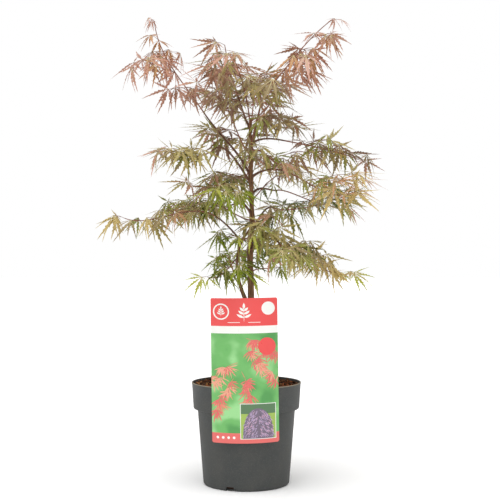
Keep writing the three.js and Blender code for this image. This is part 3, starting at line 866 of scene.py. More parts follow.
@dataclass
class Wood:
    """The trunk, the side stem beside it and the boughs, from their knees and rows."""

    foot: float
    tip: float
    foot_radius: float = 7.2 * MM
    tip_radius: float = 1.8 * MM
    taper: float = 0.85
    flare: float = 4.2 * MM
    flare_height: float = 11 * MM
    swell: float = 0.9 * MM
    swell_length: float = 4.5 * MM
    trunk_relief: float = 0.35 * MM
    ring_step: float = 1.6 * MM
    closer_at_foot: float = 1.15
    stem_height: float = 0.3
    stem_top: float = 0.444
    stem_bend_share: float = 0.62
    stem_swing: float = -0.05
    stem_forward: float = -0.007
    stem_thick: float = 3.0 * MM
    stem_thin: float = 1.7 * MM
    bough_thin: float = 1.25 * MM
    collar: float = 0.55
    collar_length: float = 6 * MM
    stem_collar_length: float = 34 * MM
    clearance: float = 0.3 * MM
    trunk_sides: int = 40
    stem_sides: int = 20
    bough_sides: int = 16
    smooth_below: float = 50.0
    halvings: int = 30
    knees: tuple[tuple[float, float, float], ...] = field(init=False)

    def __post_init__(self) -> None:
        """Sets where the trunk's axis stands at each knee, as height, x and y."""
        self.knees = (
            (self.foot, 0.008, 0.0),
            (0.322, 0.008, 0.0),
            (0.408, 0.0063, -0.001),
            (0.45, 0.01, 0.001),
            (0.53, 0.0082, 0.0),
            (self.tip, 0.0065, 0.001),
        )

    def trunk_point(self, height: float) -> Vector:
        """Gives the trunk's axis, which eases from knee to knee.

        Args:
            height: the height.

        Returns:
            The point of the axis at that height.
        """
        last = len(self.knees) - 1
        after = max(1, next((i for i, knee in enumerate(self.knees) if knee[0] >= height), last))
        low, high = self.knees[after - 1], self.knees[after]
        share = min(1.0, max(0.0, (height - low[0]) / (high[0] - low[0])))
        ease = share * share * (3 - 2 * share)
        return Vector((mix(low[1], high[1], ease), mix(low[2], high[2], ease), height))

    def trunk_radius(self, height: float) -> float:
        """Gives the trunk's radius without its swellings.

        Args:
            height: the height.

        Returns:
            The radius at that height, with the flare at the foot.
        """
        left = max(0.0, (self.tip - height) / (self.tip - self.foot))
        wood = self.tip_radius + (self.foot_radius - self.tip_radius) * left ** self.taper
        return wood + self.flare * math.exp((self.foot - height) / self.flare_height)

    def _swollen_radius(self, height: float) -> float:
        """Gives the trunk's radius with a swelling at the foot of each limb.

        Args:
            height: the height.

        Returns:
            The radius at that height.
        """
        feet = [row.height for row in (*BOUGHS, *SPRAYS) if row.height and row.on is Carrier.TRUNK]
        nearest = min(abs(height - foot) for foot in feet)
        return self.trunk_radius(height) + self.swell * math.exp(-(nearest / self.swell_length) ** 2)

    def side_stem(self) -> Path:
        """Gives the side stem's axis, which swings out to the left and comes back against the trunk.

        Returns:
            The axis.
        """
        foot = self.trunk_point(self.stem_height)
        top = self.trunk_point(self.stem_top)
        bend = foot.lerp(top, self.stem_bend_share) + Vector((self.stem_swing, self.stem_forward, 0.0))
        return Path((foot, bend, top + Vector((-self.stem_thin, self.stem_forward, 0.0))))

    def _side_stem_point(self, height: float) -> Vector:
        """Finds the side stem's axis at a height by halving.

        Args:
            height: the height.

        Returns:
            The point of the axis.
        """
        path = self.side_stem()
        low, high = 0.0, 1.0
        for _ in range(self.halvings):
            middle = (low + high) / 2
            if path.at(middle).z < height:
                low = middle
            else:
                high = middle
        return path.at(low)

    def path_of(self, row: Bough | Spray) -> Path:
        """Gives the axis of a limb that leaves the trunk or side stem by itself.

        Args:
            row: the bough or spray.

        Returns:
            The axis.
        """
        point = self._side_stem_point if row.on is Carrier.SIDE_STEM else self.trunk_point
        leaving = direction(row.bearing, row.leave)
        return grow(point(row.height), leaving, row.bearing, row.reach, row.rise, row.nod)

    def stem_of(self, row: Spray) -> Path:
        """Gives the axis of a spray's stem, which goes on from the bough of the same name.

        Args:
            row: the spray.

        Returns:
            The axis.
        """
        bough = next((other for other in BOUGHS if other.name == row.name), None)
        if bough is None:
            return self.path_of(row)
        carrier = self.path_of(bough)
        heading = carrier.heading(1.0)
        foot = carrier.at(1.0) + heading * self.clearance
        return grow(foot, heading, row.bearing, row.reach, row.rise, row.nod)

    def _trunk(self) -> Limb:
        """Gives the trunk, with its rings closer together at the flare.

        Returns:
            The limb.
        """
        count = round((self.tip - self.foot) / self.ring_step)
        return Limb(
            "trunk_bark",
            lambda share: self.trunk_point(mix(self.foot, self.tip, share)),
            lambda share: UP,
            lambda share: self._swollen_radius(mix(self.foot, self.tip, share)),
            direction(90), [share ** self.closer_at_foot for share in even_shares(count)],
            self.trunk_sides, relief=self.trunk_relief)

    def _tapering(self, name: str, path: Path, thick: float, thin: float, bearing: float, sides: int,
                  collar_length: float) -> Limb:
        """Gives a limb that swells into a collar at its foot.

        Args:
            name: the piece's name.
            path: its axis.
            thick: its radius at the foot, without the collar.
            thin: its radius at the tip.
            bearing: the bearing that it heads along.
            sides: how many faces go round it.
            collar_length: how far along the collar falls to a third.

        Returns:
            The limb.
        """
        length = path.length()

        def radius(share: float) -> float:
            """Gives the radius a share of the way along."""
            collar = self.collar * math.exp(-share * length / collar_length)
            return mix(thick, thin, share) * (1 + collar)

        shares = even_shares(round(length / self.ring_step))
        return Limb(name, path.at, path.heading, radius, direction(bearing + 90), shares, sides)

    def build(self) -> None:
        """Makes the trunk, the side stem and the boughs."""
        brown = YoungBark("olive brown", "#66472C", "#996C43", "#33271A").material()
        red = YoungBark("maroon", "#5F4031", "#8A6646", "#3A271E").material()
        stem = self._tapering("side_stem_bark", self.side_stem(), self.stem_thick, self.stem_thin, 180,
                              self.stem_sides, self.stem_collar_length)
        limbs = [(self._trunk(), brown, "trunk"), (stem, brown, "side_stem")]
        for row in BOUGHS:
            bough = self._tapering(f"bark_{row.name}", self.path_of(row), row.thick, self.bough_thin,
                                   row.bearing, self.bough_sides, self.collar_length)
            limbs.append((bough, red, f"bough_{row.name}"))
        for limb, finish, node in limbs:
            hand_over(make_piece(limb.name, limb.mesh(), [finish], self.smooth_below), "bark", node)


@dataclass(frozen=True)
class Shoot:
    """A stem or twig that carries leaves."""

    path: Path
    bearing: float
    thick: float
    thin: float
    first: float
    pairs: int
    number: int


@dataclass(frozen=True)
class LeafPlace:
    """Where one leaf sits, how it hangs and what it is like."""

    foot: Vector
    hub: Vector
    bearing: float
    droop: float
    tilt: float
    roll: float
    size: float
    tint: Tint


def tube(points: Sequence[Vector], radii: Sequence[float], sides: int,
         steep: float = 0.97) -> tuple[np.ndarray, list]:
    """Makes a thin closed tube as arrays.

    Args:
        points: its axis, foot first.
        radii: its radius at each point.
        sides: how many faces go round it.
        steep: the share of its way that goes up from which it counts as upright.

    Returns:
        Its vertices and faces.
    """
    along = (points[-1] - points[0]).normalized()
    first = along.cross(UP if abs(along.z) < steep else RIGHT).normalized()
    second = along.cross(first)
    turns = np.arange(sides) * (math.tau / sides)
    round_axis = np.outer(np.cos(turns), first) + np.outer(np.sin(turns), second)
    places = np.concatenate([np.array(p) + round_axis * r for p, r in zip(points, radii)])
    top = (len(points) - 1) * sides
    faces = [tuple(reversed(range(sides)))]
    for low in range(0, top, sides):
        for i in range(sides):
            after = (i + 1) % sides
            faces.append((low + i, low + after, low + sides + after, low + sides + i))
    faces.append(tuple(range(top, top + sides)))
    return places, faces


@dataclass
class LaceLeaf:
    """A laceleaf blade: narrow toothed lobes that spread from the hub at many slopes, each folded up a
    little along a rib, whose pale colour is partly its own and partly a painted glint. Points along and
    across a lobe are shares of its length. Turns pair each lobe's angle from the middle one with its
    share of the middle one's length."""

    lobe: float = 50 * MM
    turns: tuple[tuple[float, float], ...] = ((0, 1.0), (33, 0.95), (67, 0.78), (103, 0.5), (138, 0.26))
    midrib: tuple[float, ...] = (0.0, 0.34, 0.67, 1.0)
    edge: tuple[tuple[float, float], ...] = (
        (0.05, 0.01), (0.16, 0.02), (0.28, 0.058), (0.29, 0.03), (0.42, 0.08), (0.43, 0.037),
        (0.56, 0.068), (0.57, 0.028), (0.7, 0.043), (0.71, 0.016), (0.84, 0.02),
    )
    edge_of_spans: tuple[slice, ...] = (slice(0, 4), slice(3, 8), slice(7, 11))
    stagger: float = 0.07
    stagger_from: float = 0.2
    rib: tuple[tuple[float, float], ...] = (
        (0.0, -0.011), (0.0, 0.011), (0.34, -0.006), (0.34, 0.006), (0.62, 0.0))
    rib_faces: tuple[tuple[int, ...], ...] = ((0, 2, 3, 1), (2, 4, 3))
    rib_lift: float = 0.2 * MM
    widen: float = 0.93
    widen_short: float = 0.14
    fold: float = 0.28
    curl_from: float = 0.84
    curl_to: float = 1.2
    least_curl: float = 0.02
    turn_vary: float = 20.0
    share_vary: float = 0.3
    sag_vary: float = 56.0
    sweep_vary: float = 16.0

    def __post_init__(self) -> None:
        """Works out the points and faces that every lobe shares."""
        right = [(along, -wide) for along, wide in self.edge]
        left = [(along - (self.stagger if along > self.stagger_from else 0.0), wide)
                for along, wide in self.edge]
        ribs = [(along, 0.0) for along in self.midrib]
        self.outline = np.array(ribs + right + left + list(self.rib))
        self.blade_count = len(self.outline) - len(self.rib)
        self.lift = np.array([0.0] * self.blade_count + [self.rib_lift] * len(self.rib))
        self.lobe_faces = []
        for side in range(2):
            start = len(ribs) + side * len(self.edge)
            border = range(start, start + len(self.edge))
            for low, span in enumerate(self.edge_of_spans):
                face = (low, *border[span], low + 1)
                self.lobe_faces.append(face if side == 0 else face[::-1])
        mirrored = [(-turn, share) for turn, share in self.turns[:0:-1]]
        self.lobes = mirrored + list(self.turns)

    def _lobe(self, turn: float, share: float, leaf: LeafPlace, draw: Draws) -> np.ndarray:
        """Gives one lobe's points about the hub, the leaf's middle lobe heading along X.

        Args:
            turn: how far the lobe is turned from the middle one.
            share: its share of the middle lobe's length.
            leaf: the leaf.
            draw: the leaf's run of numbers.

        Returns:
            The points, those of its rib last.
        """
        length = self.lobe * leaf.size * share * draw.about(1.0, self.share_vary)
        heading = math.radians(draw.about(turn, self.turn_vary))
        sag = math.radians(draw.about(leaf.droop, self.sag_vary))
        sweep = math.radians(draw.about(0.0, self.sweep_vary))
        along, across = self.outline[:, 0], self.outline[:, 1]
        low, growth = sag * self.curl_from, sag * (self.curl_to - self.curl_from)
        if abs(growth) < self.least_curl:
            growth = self.least_curl
        slopes = low + growth * along
        out = (np.sin(slopes) - math.sin(low)) / growth
        down = (math.cos(low) - np.cos(slopes)) / growth
        headings = heading + sweep * along
        wide = across * length * (self.widen + self.widen_short / share ** 0.5)
        x = out * length * np.cos(headings) - wide * np.sin(headings)
        y = out * length * np.sin(headings) + wide * np.cos(headings)
        lift = np.abs(wide) * self.fold + self.lift
        return np.stack([x + lift * np.sin(slopes) * np.cos(headings),
                         y + lift * np.sin(slopes) * np.sin(headings),
                         lift * np.cos(slopes) - down * length], axis=1)

    def grow(self, leaf: LeafPlace, seed: int, blades: Gathered, ribs: Gathered,
             is_free: Callable[[np.ndarray], bool]) -> bool:
        """Grows one leaf's blade and ribs in its place, unless the place isn't free.

        Args:
            leaf: the leaf.
            seed: what its small differences are drawn from.
            blades: what takes the blade.
            ribs: what takes the ribs.
            is_free: tells whether the blade's points touch nothing.

        Returns:
            Whether it was grown.
        """
        draw = Draws(seed)
        lobes = [self._lobe(turn, share, leaf, draw) for turn, share in self.lobes]
        turns = ((leaf.bearing, "Z"), (leaf.tilt, "Y"), (leaf.roll, "X"))
        yaw, tilt, roll = (Matrix.Rotation(math.radians(turn), 3, axis) for turn, axis in turns)
        turned = np.array(yaw @ tilt @ roll)
        split = self.blade_count
        points = np.concatenate([lobe[:split] for lobe in lobes]) @ turned.T + np.array(leaf.hub)
        if not is_free(points):
            return False
        blades.add(points, self._repeated(self.lobe_faces, split))
        rib_points = np.concatenate([lobe[split:] for lobe in lobes]) @ turned.T + np.array(leaf.hub)
        ribs.add(rib_points, self._repeated(self.rib_faces, len(self.rib)))
        return True

    def _repeated(self, faces: Sequence[tuple[int, ...]], step: int) -> list[tuple[int, ...]]:
        """Gives the faces of every lobe from those of one, with its number of points as the step."""
        starts = range(0, len(self.lobes) * step, step)
        return [tuple(start + i for i in face) for start in starts for face in faces]


@dataclass
class Foliage:
    """The sprays: each one's stem, side twigs, finer sprigs and pairs of leaves, by the solids' own rule
    and seeds, carried on to sprigs and to both leaves of every pair."""

    wood: Wood
    pot_radius: float
    card_low: Vector
    card_high: Vector
    solids_low: Vector
    solids_high: Vector
    proud: float = 0.041
    size_tries: tuple[float, ...] = (1.0, 0.8, 0.64)
    stem_thick: float = 1.25 * MM
    stem_thin: float = 0.75 * MM
    twig_thin: float = 0.5 * MM
    stalk_thick: float = 0.45 * MM
    stalk_bow: float = 0.08
    stalk_taper: tuple[float, ...] = (1.0, 0.8, 0.9, 0.4)
    stalk_sides: int = 5
    twig_sides: int = 7
    twig_step: float = 7 * MM
    least_steps: int = 3
    twigs_from: float = 0.12
    twigs_to: float = 0.78
    twig_turn: Spread = (50.0, 16.0)
    twig_length: Spread = (1.0, 0.3)
    twig_shorten: float = 0.4
    twig_rise_vary: float = 0.25
    twig_leave: float = 12.0
    twig_leave_vary: float = 20.0
    twig_nod: float = -15.0
    twig_pairs: int = 2
    twig_first: float = 0.5
    sprig_share: float = 0.45
    sprig_reach: float = 0.5
    twigs_seed: int = 97
    spray_seed: int = 7919
    shoot_seed: int = 331
    node_seed: int = 17
    blade_shoot_seed: int = 5
    blade_node_seed: int = 2
    stalk: Spread = (17 * MM, 9 * MM)
    stalk_slope: Spread = (12.0, 36.0)
    side_turn: Spread = (66.0, 24.0)
    end_turn: Spread = (34.0, 24.0)
    droop_vary: float = 26.0
    tilt: Spread = (20.0, 60.0)
    roll: Spread = (0.0, 90.0)
    size_least: float = 0.86
    size_vary: float = 0.28
    young_tip_share: float = 0.4
    hub_room: float = 14 * MM
    card_room: float = 3.5 * MM
    trunk_room: float = 0.6 * MM
    leaf: LaceLeaf = field(default_factory=LaceLeaf)

    def __post_init__(self) -> None:
        """Starts the gathered blades, one lot for each tint, and the gathered twigs and ribs."""
        self.blades = {tint: Gathered() for tint in Tint}
        self.twigs = Gathered()
        self.ribs = Gathered()
        self.hubs: list[Vector] = []
        proud = (self.solids_high - self.solids_low) * self.proud
        self.low = np.array(self.solids_low - proud)
        self.high = np.array(self.solids_high + proud)

    def _twig(self, row: Spray, stem: Shoot, index: int) -> Shoot:
        """Gives one side twig of a stem, to left and right in turn and shorter towards the tip.

        Args:
            row: the spray.
            stem: the shoot that it leaves.
            index: which twig it is.

        Returns:
            The twig.
        """
        draw = Draws(row.seed * self.twigs_seed + index)
        share = mix(self.twigs_from, self.twigs_to, (index + 0.5) / row.twigs)
        side = 1 if (index + row.seed) % 2 == 0 else -1
        bearing = bearing_of(stem.path.heading(share)) + side * draw.about(*self.twig_turn)
        reach = row.fan * (draw.about(*self.twig_length) - self.twig_shorten * share)
        rise = reach * self.twig_rise_vary * draw()
        leaving = direction(bearing, self.twig_leave + self.twig_leave_vary * draw())
        path = grow(stem.path.at(share), leaving, bearing, reach, rise, self.twig_nod)
        return Shoot(path, bearing, self.stem_thin, self.twig_thin, self.twig_first, self.twig_pairs,
                     index + 1)

    def _sprig(self, seed: int, twig: Shoot, number: int) -> Shoot:
        """Gives the finer sprig that leaves a side twig.

        Args:
            seed: the spray's seed.
            twig: the twig that it leaves.
            number: its number among the spray's shoots.

        Returns:
            The sprig.
        """
        draw = Draws(seed * self.twigs_seed + number)
        side = 1 if (number + seed) % 2 == 0 else -1
        bearing = bearing_of(twig.path.heading(self.sprig_share)) + side * draw.about(*self.twig_turn)
        reach = twig.path.length() * self.sprig_reach * draw.about(*self.twig_length)
        leaving = direction(bearing, self.twig_leave + self.twig_leave_vary * draw())
        rise = reach * self.twig_rise_vary * draw()
        path = grow(twig.path.at(self.sprig_share), leaving, bearing, reach, rise, self.twig_nod)
        return Shoot(path, bearing, self.twig_thin, self.stalk_thick, 1.0, 1, number)

    def _leaf_place(self, row: Spray, shoot: Shoot, node: int, side: int) -> LeafPlace:
        """Gives the place of one leaf of a pair.

        Args:
            row: the spray.
            shoot: what carries the leaf.
            node: which of the shoot's leaf nodes it is at.
            side: 1 for the left leaf and -1 for the right one.

        Returns:
            The leaf's place.
        """
        seed = row.seed * self.spray_seed + shoot.number * self.shoot_seed + node * self.node_seed
        draw = Draws(seed + side + 1)
        last = node == shoot.pairs - 1
        share = 1.0 if last else mix(shoot.first, 1.0, node / (shoot.pairs - 1))
        turn = draw.about(*(self.end_turn if last else self.side_turn))
        bearing = bearing_of(shoot.path.heading(share)) + side * turn
        slope = draw.about(*self.stalk_slope)
        stalk = draw.about(*self.stalk)
        foot = shoot.path.at(share)
        droop = draw.about(row.droop, self.droop_vary)
        tilt = draw.about(*self.tilt)
        young = last and shoot.number == 0
        size = row.leaf * (row.young if young else 1.0) * (self.size_least + self.size_vary * draw())
        roll = draw.about(*self.roll)
        fresh = last and (young or draw() < self.young_tip_share)
        tint = draw.pick(row.autumn.young if fresh else row.autumn.grown)
        hub = foot + direction(bearing, slope) * stalk
        return LeafPlace(foot, hub, bearing, droop, tilt, roll, size, tint)

    def _is_free(self, points: np.ndarray) -> bool:
        """Tells whether a blade stays within the solids' reach, out of the trunk and off the card.

        Args:
            points: the blade's points.

        Returns:
            Whether it does.
        """
        if np.any(points < self.low) or np.any(points > self.high):
            return False
        plan = np.hypot(points[:, 0], points[:, 1])
        beside = (points[:, 0] > self.card_low.x) & (points[:, 0] < self.card_high.x) & (points[:, 1] < 0)
        on_card = beside & (points[:, 2] < self.card_high.z + self.card_room)
        if np.any(on_card & (np.abs(plan - self.pot_radius) < self.card_room)):
            return False
        for x, y, height in points[::2].tolist():
            if height < self.wood.tip:
                axis = self.wood.trunk_point(height)
                room = self.wood.trunk_radius(height) + self.trunk_room
                if math.hypot(x - axis.x, y - axis.y) < room:
                    return False
        return True

    def _add_leaf(self, leaf: LeafPlace, seed: int) -> None:
        """Adds one leaf with its stalk, smaller where there is little room, unless it is crowded out.

        Args:
            leaf: the leaf.
            seed: what its small differences are drawn from.
        """
        if any((leaf.hub - hub).length < self.hub_room for hub in self.hubs):
            return
        sizes = (replace(leaf, size=leaf.size * share) for share in self.size_tries)
        blades = self.blades[leaf.tint]
        if not any(self.leaf.grow(one, seed, blades, self.ribs, self._is_free) for one in sizes):
            return
        self.hubs.append(leaf.hub)
        middle = leaf.foot.lerp(leaf.hub, 0.5) + UP * (leaf.hub - leaf.foot).length * self.stalk_bow
        end = leaf.hub + (leaf.hub - middle).normalized() * self.stalk_thick
        radii = [self.stalk_thick * share for share in self.stalk_taper]
        self.twigs.add(*tube((leaf.foot, middle, leaf.hub, end), radii, self.stalk_sides))

    def _grow_shoot(self, row: Spray, shoot: Shoot) -> None:
        """Grows the wood of one stem or twig, and then its leaves.

        Args:
            row: the spray.
            shoot: the stem or twig.
        """
        shares = even_shares(max(self.least_steps, round(shoot.path.length() / self.twig_step)))
        radii = [mix(shoot.thick, shoot.thin, share) for share in shares]
        self.twigs.add(*tube([shoot.path.at(share) for share in shares], radii, self.twig_sides))
        seed = row.seed * self.node_seed + shoot.number * self.blade_shoot_seed
        for node in range(shoot.pairs):
            for side in (1, -1):
                leaf = self._leaf_place(row, shoot, node, side)
                self._add_leaf(leaf, seed + node * self.blade_node_seed + side)

    def _grow_spray(self, row: Spray) -> None:
        """Grows one spray: its stem, twigs and sprigs.

        Args:
            row: the spray.
        """
        stem = Shoot(self.wood.stem_of(row), row.bearing, self.stem_thick, self.stem_thin,
                     row.first, row.pairs, 0)
        twigs = [self._twig(row, stem, index) for index in range(row.twigs)]
        sprigs = [self._sprig(row.seed, twig, row.twigs + 1 + i) for i, twig in enumerate(twigs)]
        for shoot in (stem, *twigs, *sprigs):
            self._grow_shoot(row, shoot)

    def build(self) -> None:
        """Grows every spray; makes a piece of twigs, one of ribs pale with painted glint, one of each
        tint's leaves.
        """
        for row in SPRAYS:
            self._grow_spray(row)
        LOG.info("%d leaves", len(self.hubs))
        green_wood = LivingSkin("green wood, this year's growth", "#80503C", roughness=0.45, specular=0.3)
        twigs = self.twigs.piece("twigs", green_wood.material(), smooth=True)
        hand_over(twigs, "bark", *(f"foliage_{row.name}" for row in SPRAYS))
        # The ribs' pale colour is partly the midrib's own and partly a painted glint, the highlight that
        # the leaves' hubs catch.
        pale = LivingSkin("leaf rib, pale, with a painted glint", "#BDAE7E", roughness=0.35, specular=0.3)
        hand_over(self.ribs.piece("leaf_ribs_painted_glint", pale.material()), "leaf_amber")
        for tint, blades in self.blades.items():
            if blades.count:
                name = tint.name.lower()
                skin = LivingSkin(f"maple leaf, {name}", tint.colour).material()
                hand_over(blades.piece(f"leaves_{name}", skin), tint.slot)


# Pot, bark mulch and plant card


def round_off(bm: bmesh.types.BMesh, what: Iterable, length: float, faces: int, kind: str) -> None:
    """Bevels corners or edges.

    Args:
        bm: their mesh.
        what: the vertices or edges.
        length: how far back each bevel starts.
        faces: how many faces it gets.
        kind: VERTICES or EDGES.
    """
    bmesh.ops.bevel(bm, geom=list(what), offset=length, offset_type="OFFSET", affect=kind,
                    segments=faces, profile=0.5, material=-1)


def draw_line(bm: bmesh.types.BMesh, points: Iterable[Sequence[float]]) -> list[bmesh.types.BMVert]:
    """Joins points in turn by edges.

    Args:
        bm: the mesh that takes them.
        points: the points.

    Returns:
        The vertices made for them.
    """
    corners = [bm.verts.new(point) for point in points]
    for low, high in zip(corners, corners[1:]):
        bm.edges.new((low, high))
    return corners


def spin_profile(bm: bmesh.types.BMesh, outline: Sequence[tuple[float, float]],
                 rounding: dict[int, tuple[float, int]], steps: int) -> None:
    """Spins an outline of radii and heights round the Z axis.

    Args:
        bm: the mesh that takes the surface.
        outline: the outline's corners as radius and height.
        rounding: for a corner's number, the length that its rounding takes and the faces it gets.
        steps: how many faces go round.
    """
    corners = draw_line(bm, [(radius, 0.0, height) for radius, height in outline])
    for number, (length, faces) in rounding.items():
        round_off(bm, [corners[number]], length, faces, "VERTICES")
    bmesh.ops.spin(bm, geom=bm.verts[:] + bm.edges[:], axis=UP, cent=(0.0, 0.0, 0.0), steps=steps,
                   angle=math.tau, use_merge=True)
    bmesh.ops.remove_doubles(bm, verts=bm.verts[:], dist=WELD)
    bmesh.ops.recalc_face_normals(bm, faces=bm.faces[:])


@dataclass
class NurseryPot:
    """The round pot: a tapering body under a deep collar, a beaded rim and stepped drain notches."""

    rim_radius: float
    rim: float
    collar_foot_radius: float = 92.2 * MM
    collar_foot: float = 131.5 * MM
    shoulder_radius: float = 84.8 * MM
    foot_radius: float = 75.3 * MM
    foot_draw_in: float = 0.7 * MM
    collar_draw_in: float = 0.3 * MM
    corner: float = 5 * MM
    wall: float = 2.2 * MM
    floor: float = 2.4 * MM
    edge: float = 1.4 * MM
    bead: float = 0.5 * MM
    bead_height: float = 3.2 * MM
    recess: float = 1.1 * MM
    recess_radius: float = 56 * MM
    notches: int = 3
    first_notch: float = 249.0
    notch_steps: tuple[tuple[float, float, float], ...] = (
        (0.5 * MM, 13.5 * MM, 7.2 * MM), (-1.5 * MM, 20 * MM, 4.2 * MM))
    notch_depth: float = 14 * MM
    steps: int = 192
    smooth_below: float = 35.0

    def _shell(self) -> bmesh.types.BMesh:
        """Spins the pot's wall, collar, bead and floor from corners, each with the length and faces of its
        rounding.

        Returns:
            The mesh.
        """
        bead_foot = self.rim - self.bead_height
        corners = (
            ((0.0, self.recess), None),
            ((self.recess_radius, self.recess), None),
            ((self.recess_radius + self.recess, 0.0), None),
            ((self.foot_radius - self.foot_draw_in, 0.0), (self.corner * 0.8, 8)),
            ((self.shoulder_radius, self.collar_foot - self.edge), (0.9 * MM, 3)),
            ((self.collar_foot_radius - self.collar_draw_in, self.collar_foot), (1.2 * MM, 4)),
            ((self.rim_radius - self.bead, bead_foot - self.bead), (0.4 * MM, 2)),
            ((self.rim_radius, bead_foot), (0.4 * MM, 2)),
            ((self.rim_radius, self.rim), (0.8 * MM, 4)),
            ((self.rim_radius - self.wall, self.rim), (0.6 * MM, 3)),
            ((self.collar_foot_radius - self.wall, self.collar_foot + self.wall), (2.0 * MM, 4)),
            ((self.shoulder_radius - self.wall, self.collar_foot), (2.0 * MM, 4)),
            ((self.foot_radius - self.wall, self.floor), (6.0 * MM, 6)),
            ((0.0, self.floor), None),
        )
        rounding = {number: way for number, (_, way) in enumerate(corners) if way}
        bm = bmesh.new()
        spin_profile(bm, [corner for corner, _ in corners], rounding, self.steps)
        return bm

    def _cutters(self) -> bmesh.types.BMesh:
        """Makes the stepped blocks that cut the drain notches.

        Returns:
            The mesh.
        """
        bm = bmesh.new()
        for number in range(self.notches):
            turn = Matrix.Rotation(math.radians(self.first_notch + number * 360 / self.notches), 4, "Z")
            for aside, wide, high in self.notch_steps:
                at_foot = Matrix.Translation((self.foot_radius, -aside, 0.0))
                size = Matrix.Diagonal((self.notch_depth, wide, high * 2, 1.0))
                bmesh.ops.create_cube(bm, size=1.0, matrix=turn @ at_foot @ size)
        return bm

    def build(self) -> None:
        """Makes the pot and cuts its notches."""
        finish = MouldedPolypropylene().material(self.rim)
        pot = make_piece("nursery_pot", self._shell(), [finish])
        cutters = make_piece("notch_cutters", self._cutters(), [])
        notching = pot.modifiers.new("notches", "BOOLEAN")
        notching.operation = "DIFFERENCE"
        notching.solver = "EXACT"
        notching.use_self = True
        notching.object = cutters
        bpy.context.view_layer.objects.active = pot
        bpy.ops.object.modifier_apply(modifier=notching.name)
        bpy.data.objects.remove(cutters)
        pot.data.shade_smooth()
        pot.data.set_sharp_from_angle(angle=math.radians(self.smooth_below))
        hand_over(pot, "pot", "pot")


